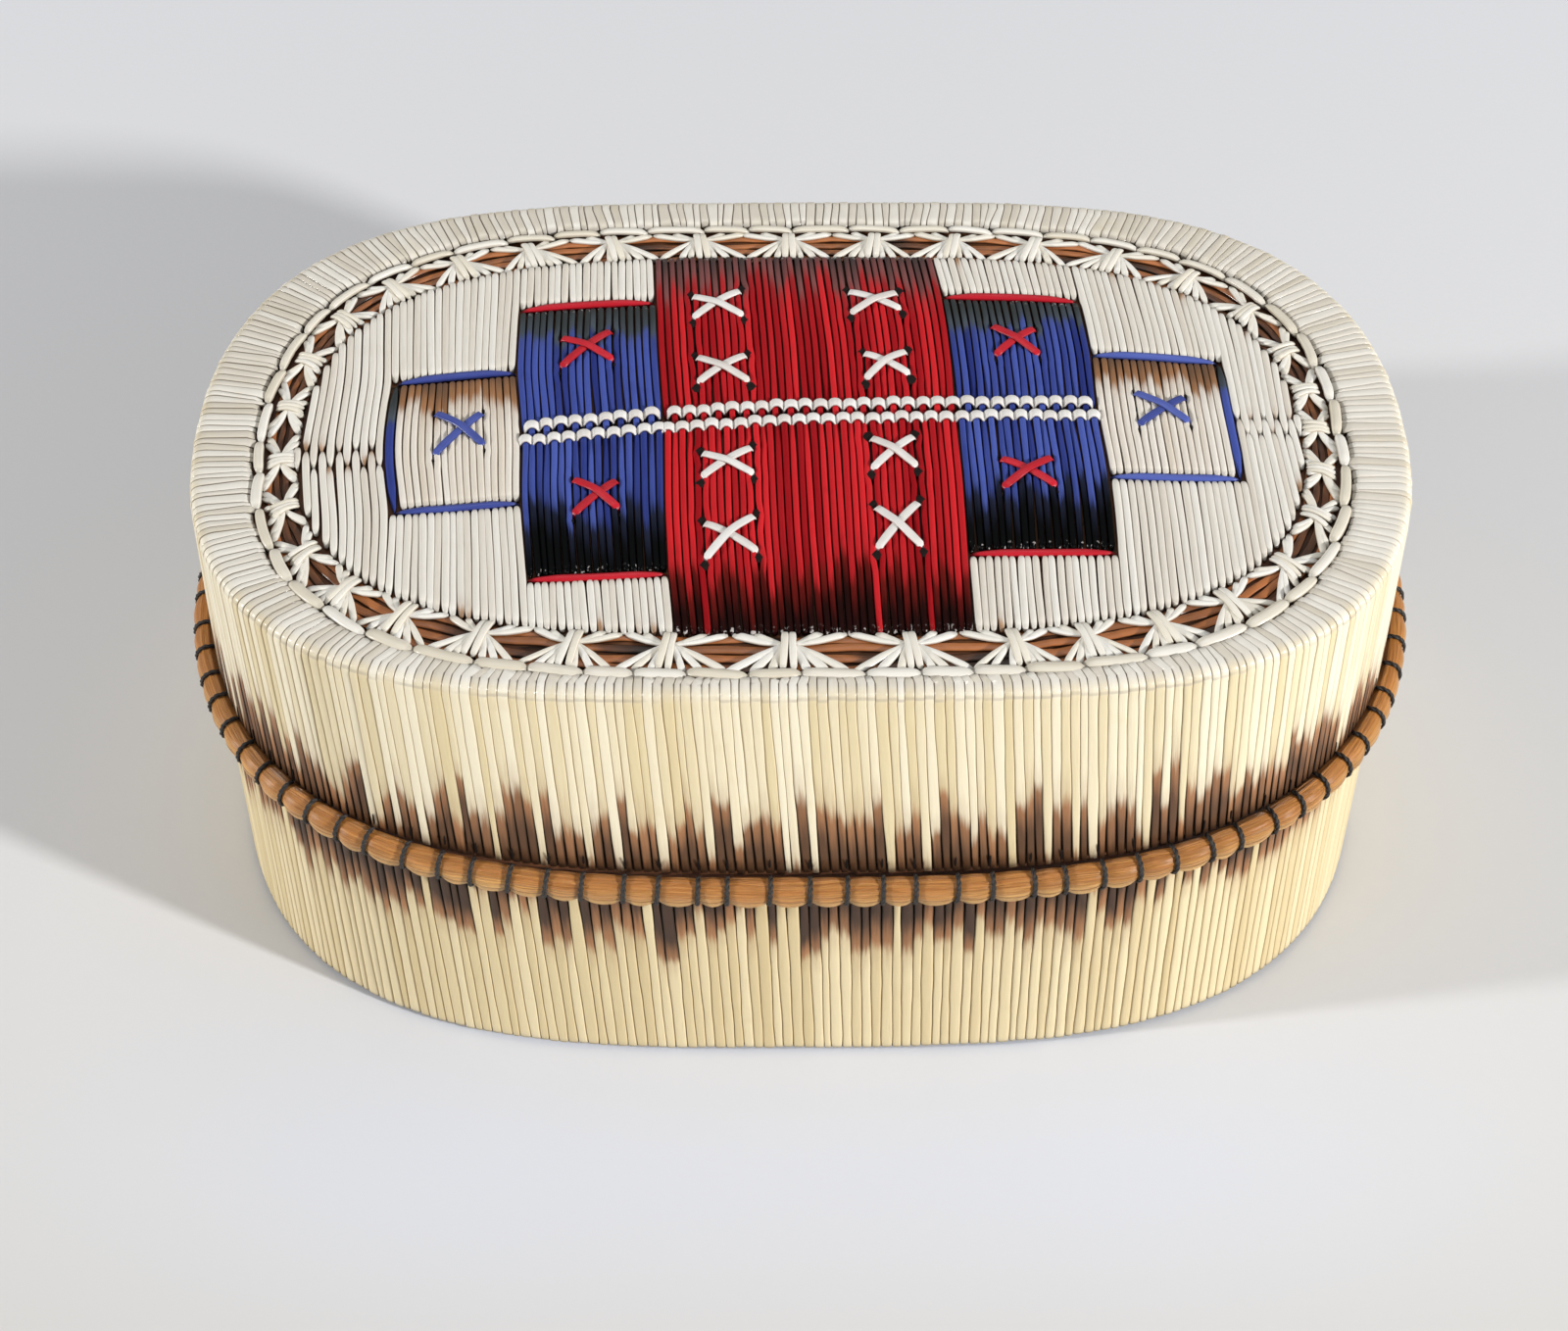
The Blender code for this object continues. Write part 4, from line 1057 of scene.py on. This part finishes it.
STITCHES = (
    Stitch("white_stitch_back_outer_left", (703.5, 303), (754.4, 297), (706, 325), (756.5, 322), True),
    Stitch("white_stitch_back_inner_left", (708.5, 364.7), (759.4, 362.6), (711, 391), (763, 389), True),
    Stitch("white_stitch_back_outer_right", (868, 298), (914.4, 298.5), (870.3, 319.7), (918.2, 315.6), False),
    Stitch("white_stitch_back_inner_right", (877, 361), (923.5, 358.8), (880.6, 386.8), (924.7, 381.8), False),
    Stitch("white_stitch_front_inner_left", (715.3, 462.4), (769, 456.5), (716, 486.8), (771, 483), True),
    Stitch("white_stitch_front_outer_left", (720.3, 533.8), (772.6, 525.9), (722.6, 570.6), (773.5, 563.2), False),
    Stitch("white_stitch_front_inner_right", (888.8, 447), (934.4, 445), (892.4, 478.5), (937.4, 475.6), True),
    Stitch("white_stitch_front_outer_right", (893.8, 516.8), (941, 511.8), (897, 560.3), (944.7, 557.4), True),
    Stitch("red_stitch_back_left", (569.3, 345.7), (625.7, 337.5), (571.3, 375.5), (625, 367), True),
    Stitch("red_stitch_back_right", (1010, 332.5), (1057.5, 335.7), (1013.7, 362.5), (1061.7, 362), True),
    Stitch("red_stitch_front_left", (585.5, 489.5), (630.7, 490), (587.5, 525), (632, 518.7), True),
    Stitch("red_stitch_front_right", (1020.5, 468), (1071.3, 466.7), (1026.3, 497.5), (1077, 495.7), False),
    Stitch("blue_stitch_left", (446.5, 422), (494.5, 421), (447, 464.5), (494.5, 454), True),
    Stitch("blue_stitch_right", (1158, 400.7), (1209.5, 405.7), (1161, 433.7), (1213.7, 431), True),
)
SLIT_JOINS = (
    ("white_stitch_back_inner_left", "white_stitch_back_outer_left", "left"),
    ("white_stitch_back_inner_right", "white_stitch_back_outer_right", "left"),
    ("white_stitch_front_outer_left", "white_stitch_front_inner_left", "right"),
)
# Red quills that keep their colour to the front end of their field, in pixels
RED_TO_THE_END = ((718, 605), (897, 592), (951, 596))
FIELD_SPANS = ((0.0, RED_HALF), (RED_HALF + 0.1, BLUE_HALF), (BLUE_HALF + 0.3, SQUARE_HALF))


def gap_near(u):
    """The gap between two quills of a coloured field or an end square that lies nearest to u."""
    near, far = next(span for span in FIELD_SPANS if abs(u) < span[1])
    left, right = (-far, far) if near == 0.0 else sorted((near * np.sign(u), far * np.sign(u)))
    step = spaced(left, right, SQUARE_PITCH if far == SQUARE_HALF else FIELD_PITCH)[1]
    return left + round((u - left) / step) * step


def stitch_corners(stitch):
    """Panel places of a stitch's four ends, moved to the nearest gaps between quills."""
    corners = {}
    for side in ("left", "right"):
        ends = [TO_PANEL(np.array(on_lid(getattr(stitch, row + "_" + side)))) for row in ("back", "front")]
        u = gap_near((ends[0][0] + ends[1][0]) / 2)
        corners[side] = (u, ends[0][1], ends[1][1])
    return corners


def plan_holes():
    """Awl holes past the ends of every stitch, and slits between quills from one to the next."""
    corners = {stitch.name: stitch_corners(stitch) for stitch in STITCHES}
    for name, sides in corners.items():
        size = 1.0 if name.startswith("white") else 0.45
        for side, sign in (("left", -1), ("right", 1)):
            u, back, front = sides[side]
            HOLES.append((u + 0.2 * sign, back + 0.55, size))
            HOLES.append((u + 0.2 * sign, front - 1.0, size))
            SLITS.append((u, front - 1.0, back + 0.55))
    for near, far, side in SLIT_JOINS:
        SLITS.append((corners[far][side][0], corners[near][side][1], corners[far][side][2]))
    return corners


def cross_stitches(mats, corners):
    """Two flat quills crossed on a field, their ends pulled down into awl holes."""
    part = np.linspace(-1.0, 1.0, 17)
    for stitch in STITCHES:
        left, right = corners[stitch.name]["left"], corners[stitch.name]["right"]
        color = stitch.name.split("_")[0]
        mat = mats["wrap" if color == "white" else color + "_stitch"]
        rows = []
        for falling in (True, False):
            first, last = (left[1], right[2]) if falling else (left[2], right[1])
            u = (left[0] + right[0]) / 2 + (right[0] - left[0]) / 2 * part
            v = (first + last) / 2 + (last - first) / 2 * part
            v = v + rng.uniform(0.3, 0.9) * (1 - part ** 2)
            over = 0.32 if falling == stitch.falling_over else 0.0
            z = PANEL_TOP + 0.02 + over * np.exp(-(part / 0.45) ** 2)
            z = z - 0.9 * np.clip((np.abs(part) - 0.9) / 0.1, 0, 1)
            path = on_panel(np.stack([u, v, z], axis=-1))[None]
            half = 0.70 * np.interp(np.abs(part), [0, 0.55, 0.9, 1.0], [0.94, 1.0, 0.9, 0.6])
            rows.append(row_of(path, half, 0.32))
        strips(stitch.name + "_quills", "lid", rows, mat, [stitch.name], 3.2, 0.3)


def dark_marks(mat):
    """Painted shade: dark patches for the shadowed insides of the awl holes and of the slits between quills."""
    big = np.array([(u, v, PANEL_BASE + 0.42) for u, v, size in HOLES if size > 0.5])
    small = np.array([(u, v, PANEL_BASE + 0.42) for u, v, size in HOLES if size < 0.5])
    slits = np.array(SLITS)
    lines = np.stack([slits[:, 0], slits[:, 1:].mean(axis=1), np.full(len(slits), PANEL_BASE + 0.35)], axis=-1)
    rows = [blob_rows(on_panel(big), 2.1, 1.95, 0.7), blob_rows(on_panel(small), 1.1, 0.6, 0.5)]
    rows.append(blob_rows(on_panel(lines), (slits[:, 2] - slits[:, 1])[:, None, None], 0.5, 0.4))
    strips("panel_awl_holes", "lid", rows, mat, (), 2.2)


def laid_edge(name, ends, bow, mat, replaced, start=FAR, tone=0.6):
    """One long quill laid along the edge of a field, pointed and dipping at its ends."""
    first, last = (np.array(end) for end in ends)
    part = np.linspace(0.0, 1.0, 25)
    along = last - first
    across = np.array([along[1], -along[0]]) / np.linalg.norm(along)
    flat = first + along * part[:, None] + across * (bow * 4 * part * (1 - part))[:, None]
    edge = np.minimum(part, 1 - part) * np.linalg.norm(along)
    taper = np.clip(edge / 4.5, 0, 1) ** 0.6
    z = PANEL_BASE - 0.25 + 0.25 * np.clip(edge / 1.2, 0, 1)
    path = on_panel(np.concatenate([flat, z[:, None]], axis=1))[None]
    row = row_of(path, 0.70 * (0.15 + 0.85 * taper), 1.05 * (0.35 + 0.65 * taper), start=start, soft=2.0,
                 tone=tone)
    strips(name, "lid", [row], mat, replaced, 2.3)


def panel():
    # Gap colours paint the shade between the quills, nearly black in the dyed fields, which also get painted glints
    # at their tips.
    dyed = {"gap_shade_depth": 0.9, "roughness": 0.34, "specular": 0.05, "coat": 0.02,
            "streaks": 0.35, "glints": True}
    mats = {
        "red": quill_material("quill_red", (214, 42, 48), (148, 16, 24), (92, 20, 16), (32, 9, 7),
                              gap=(22, 3, 4), **dyed),
        "red_back": quill_material("quill_red_back", (214, 42, 48), (148, 16, 24), (112, 70, 68), (72, 62, 60),
                                   gap=(16, 5, 5), **dyed),
        "blue": quill_material("quill_blue", (80, 97, 176), (42, 54, 122), (28, 32, 48), (6, 7, 8),
                               gap=(5, 5, 18), **dyed),
        "blue_back": quill_material("quill_blue_back", (74, 90, 168), (39, 50, 116), (66, 73, 80), (58, 62, 62),
                                    gap=(5, 5, 14), **dyed),
        "white": quill_material("quill_white", (240, 236, 227), (222, 213, 198), (152, 116, 84),
                                (84, 62, 46), gap=(130, 114, 98), gap_shade_depth=0.55),
        "square": quill_material("quill_natural", (238, 232, 222), (222, 210, 192), (142, 101, 68),
                                 (108, 80, 58), gap=(104, 86, 70), gap_shade_depth=0.6, specular=0.28),
        "wrap": quill_material("quill_wrap", (240, 238, 234), (222, 214, 206), gap=(120, 92, 88), streaks=0.7),
        "red_stitch": quill_material("quill_red_stitch", (206, 34, 50), (164, 18, 30), gap=(84, 8, 14),
                                     roughness=0.3, coat=0.06, specular=0.3, end_shade=0.5),
        "blue_stitch": quill_material("quill_blue_stitch", (84, 100, 178), (44, 54, 124), gap=(14, 16, 44),
                                      roughness=0.3, coat=0.06, specular=0.3, end_shade=0.5),
    }
    corners = plan_holes()

    def red_dye(u, front, back):
        edge = np.where(np.abs(front) > np.abs(back), -front, back)
        far_front = np.abs(front) > np.abs(back)
        deeper = 3.0 * np.exp(-((u - 6.0) / 9.0) ** 2)
        depth = np.where(far_front, rng.uniform(9, 15, len(u)) + deeper, rng.uniform(5.5, 12.5, len(u)))
        for place in RED_TO_THE_END:
            bright = np.abs(u - TO_PANEL(np.array(on_lid(place)))[0]) < FIELD_PITCH / 2
            depth = np.where(far_front & bright, 2.0, depth)
        return edge - depth, np.where(far_front, 4.4, 4.6)

    def blue_dye(u, front, back):
        far_front = np.abs(front) > np.abs(back)
        depth = np.where(far_front, rng.uniform(9, 16, len(u)), rng.uniform(5, 10.5, len(u)))
        return BLUE_DEPTH - depth, np.where(far_front, 3.4, 2.6)

    raised = {"back": [], "front": []}
    for row, bound in (("back", back_bound), ("front", front_bound)):
        names = ["red_field_" + row]
        ending = "" if row == "front" else "_back"
        raised[row].append(colour_field(names[0] + "_quills", -RED_HALF, RED_HALF, row, bound,
                                        mats["red" + ending], names, red_dye))
        reach = BLUE_DEPTH if row == "back" else -BLUE_DEPTH
        for side, left, right in (("left", -BLUE_HALF, -RED_HALF - 0.1), ("right", RED_HALF + 0.1, BLUE_HALF)):
            names = ["blue_field_" + row + "_" + side]
            raised[row].append(colour_field(names[0] + "_quills", left, right, row,
                                            lambda x, end=reach: np.full(np.shape(x), end),
                                            mats["blue" + ending], names, blue_dye))
        wraps("white_wraps_" + row + "_quills", raised[row], row, mats["wrap"], ["white_wraps_" + row])

    for side, sign in (("left", -1), ("right", 1)):
        left, right = sorted((sign * (BLUE_HALF + 0.3), sign * SQUARE_HALF))
        u, step = spaced(left, right, SQUARE_PITCH)
        depth = 7.8 + 1.6 * wave(u, 17.0, 4.0) + rng.uniform(-2.6, 2.2, len(u)) + 1.5 * np.clip((u - 50) / 11, 0, 1)
        row = field_row(u, -SQUARE_DEPTH, SQUARE_DEPTH, step * 0.505, aside=square_bow,
                        start=SQUARE_DEPTH - depth, soft=3.2)
        strips("end_square_" + side + "_quills", "lid", [row], mats["square"],
               ["end_square_" + side], 2.6)

    for row, sign_v, bound in (("back", 1, back_bound), ("front", -1, front_bound)):
        for side, sign in (("left", -1), ("right", 1)):
            rows = []
            bands = (
                (RED_HALF + 0.2, BLUE_HALF + 0.2, BLUE_DEPTH + STEP_EDGE),
                (BLUE_HALF + 0.3, SQUARE_HALF + STEP_EDGE, SQUARE_DEPTH + STEP_EDGE),
                (SQUARE_HALF + STEP_EDGE, HALF_LENGTH, None),
            )
            for near_u, far_u, near_v in bands:
                left, right = sorted((sign * near_u, sign * far_u))
                u, step = spaced(left, right, 1.12)
                if near_v:
                    inner = np.full(len(u), sign_v * near_v)
                else:
                    crossing = np.arange(len(u)) % 2 == (sign_v > 0)
                    inner = SEAM + sign_v * np.where(crossing, -1.75, 1.85) + rng.uniform(-0.3, 0.3, len(u))
                outer = bound(u)
                inside = ((outer - inner) * sign_v > 1.2) & (np.abs(u) < 75.5)
                u, outer, inner = u[inside], outer[inside], inner[inside]
                low, high = (inner, outer) if sign_v > 0 else (outer, inner)
                at_seam = (near_v is None) & (rng.random(len(u)) < 0.35)
                stained = at_seam | (rng.random(len(u)) < 0.06)
                way = np.where(at_seam, -sign_v, sign_v)
                start = way * np.where(at_seam, inner, outer) - rng.uniform(0.6, 2.6, len(u))
                start = np.where(stained, start, FAR)
                u = u + rng.uniform(-0.09, 0.09, len(u))
                half = step * rng.uniform(0.485, 0.54, (len(u), 1))
                built = field_row(u, low, high, half, tip=1.7, aside=None if near_v else square_bow,
                                  start=start, soft=1.8)
                if near_v is None:
                    from_seam = np.abs(built.run - inner[:, None])
                    built = built._replace(half=built.half * np.clip(0.5 + from_seam / 3.6, 0, 1))
                rows.append(built._replace(run=built.run * way[:, None]))
            name = "white_field_" + row + "_" + side
            strips(name + "_quills", "lid", rows, mats["white"], [name], 2.9, 0.42)

    edge = BLUE_DEPTH + 0.85
    for row, sign_v in (("back", 1), ("front", -1)):
        for side, sign in (("left", -1), ("right", 1)):
            near, far = sign * (RED_HALF + 0.3), sign * BLUE_HALF
            name = "red_laid_quill_" + row + "_" + side
            laid_edge(name + "_each", ((min(near, far), sign_v * edge), (max(near, far), sign_v * edge)),
                      -0.25 * sign_v, mats["red_stitch"], [name])
            near, far = sign * (BLUE_HALF + 0.4), sign * (SQUARE_HALF + 0.6)
            level = sign_v * (SQUARE_DEPTH + 0.85)
            name = "blue_laid_quill_" + row + "_" + side
            laid_edge(name + "_each", ((min(near, far), level), (max(near, far), level)),
                      -0.5 if sign_v > 0 else 0.1, mats["blue_stitch"], [name],
                      tone=0.75 if side == "left" else 0.15)
    for side, sign in (("left", -1), ("right", 1)):
        name = "blue_laid_quill_end_" + side
        level = sign * (SQUARE_HALF + 0.75)
        laid_edge(name + "_each", ((level, -SQUARE_DEPTH - 0.6), (level, SQUARE_DEPTH + 0.6)),
                  sign * SQUARE_BOW, mats["blue_back"], [name], SQUARE_DEPTH * 2 - 10,
                  0.75 if side == "left" else 0.15)

    cross_stitches(mats, corners)
    dark_marks(hole_material())


# Carried-over solids

BARK_NODES = {
    "birchbark": ("base_floor", "lid_top_bark"),
    "birchbark_wall": ("base_wall_bark", "lid_wall_bark"),
    "bark_lining": ("base_floor_lining", "lid_top_lining"),
    "bark_lining_wall": ("base_liner", "lid_wall_lining"),
}


def dress_solids():
    outer = ((112, 70, 42), (74, 44, 26), (34, 22, 16), 0.62, 1.0)
    lining = ((196, 150, 102), (168, 118, 74), (98, 62, 40), 0.62, 0.8)
    for name, look, upright in (
        ("birchbark", outer, False), ("birchbark_wall", outer, True),
        ("bark_lining", lining, False), ("bark_lining_wall", lining, True),
    ):
        mat = bark_material(name, *look, upright)
        for node in BARK_NODES[name]:
            dress(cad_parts[node], mat)


def dress(obj, mat):
    for place in obj.material_slots:
        place.material = mat


# Studio

def studio():
    mesh = bpy.data.meshes.new("floor")
    reach = 2.2
    steps = 8
    grid = np.linspace(-reach, reach, steps + 1)
    points = [(x, y, 0.0) for y in grid for x in grid]
    wide = steps + 1
    faces = [(i * wide + j, i * wide + j + 1, (i + 1) * wide + j + 1, (i + 1) * wide + j)
             for i in range(steps) for j in range(steps)]
    mesh.from_pydata(points, [], faces)
    mesh.materials.append(floor_material())
    floor = bpy.data.objects.new("floor", mesh)
    bpy.context.scene.collection.objects.link(floor)
    area_light("right_light", 330, 21, 1.6, 0.10, 27.0, (1.0, 0.993, 0.98))
    area_light("left_light", 190, 17, 1.6, 0.10, 17.4, (1.0, 0.99, 0.975))
    area_light("top_light", 90, 72, 1.4, 0.9, 2.6, (1.0, 1.0, 1.0))
    world = bpy.data.worlds.new("studio")
    world.use_nodes = True
    background = world.node_tree.nodes["Background"]
    background.inputs["Color"].default_value = (0.97, 0.985, 1.0, 1.0)
    background.inputs["Strength"].default_value = 0.30
    bpy.context.scene.world = world


def area_light(name, azimuth, elevation, distance, size, power, tint):
    """A soft light that looks at the box from an azimuth counted from +X and an elevation."""
    light = bpy.data.lights.new(name, "AREA")
    light.shape = "DISK"
    light.size = size
    light.energy = power
    light.color = tint
    obj = bpy.data.objects.new(name, light)
    a, e = radians(azimuth), radians(elevation)
    target = Vector((0.0, 0.0, 0.035))
    obj.location = target + Vector((cos(a) * cos(e), sin(a) * cos(e), sin(e))) * distance
    obj.rotation_euler = (obj.location - target).to_track_quat("Z", "Y").to_euler()
    bpy.context.scene.collection.objects.link(obj)


def camera():
    data = bpy.data.cameras.new("camera")
    data.sensor_fit = "HORIZONTAL"
    data.sensor_width = SENSOR
    data.lens = LENS
    data.clip_start = 0.01
    obj = bpy.data.objects.new("camera", data)
    obj.location = CAMERA_PLACE * MM
    obj.rotation_euler = CAMERA_TURN
    bpy.context.scene.collection.objects.link(obj)
    bpy.context.scene.camera = obj


camera()
studio()
dress_solids()
base_quills()
lid_quills()
ties = tie_shares()
sweetgrass_rim(ties)
rim_thread(ties)
rim_holes(ties, hole_material())
under_strips()
laid_chain()
star_quills()
panel()
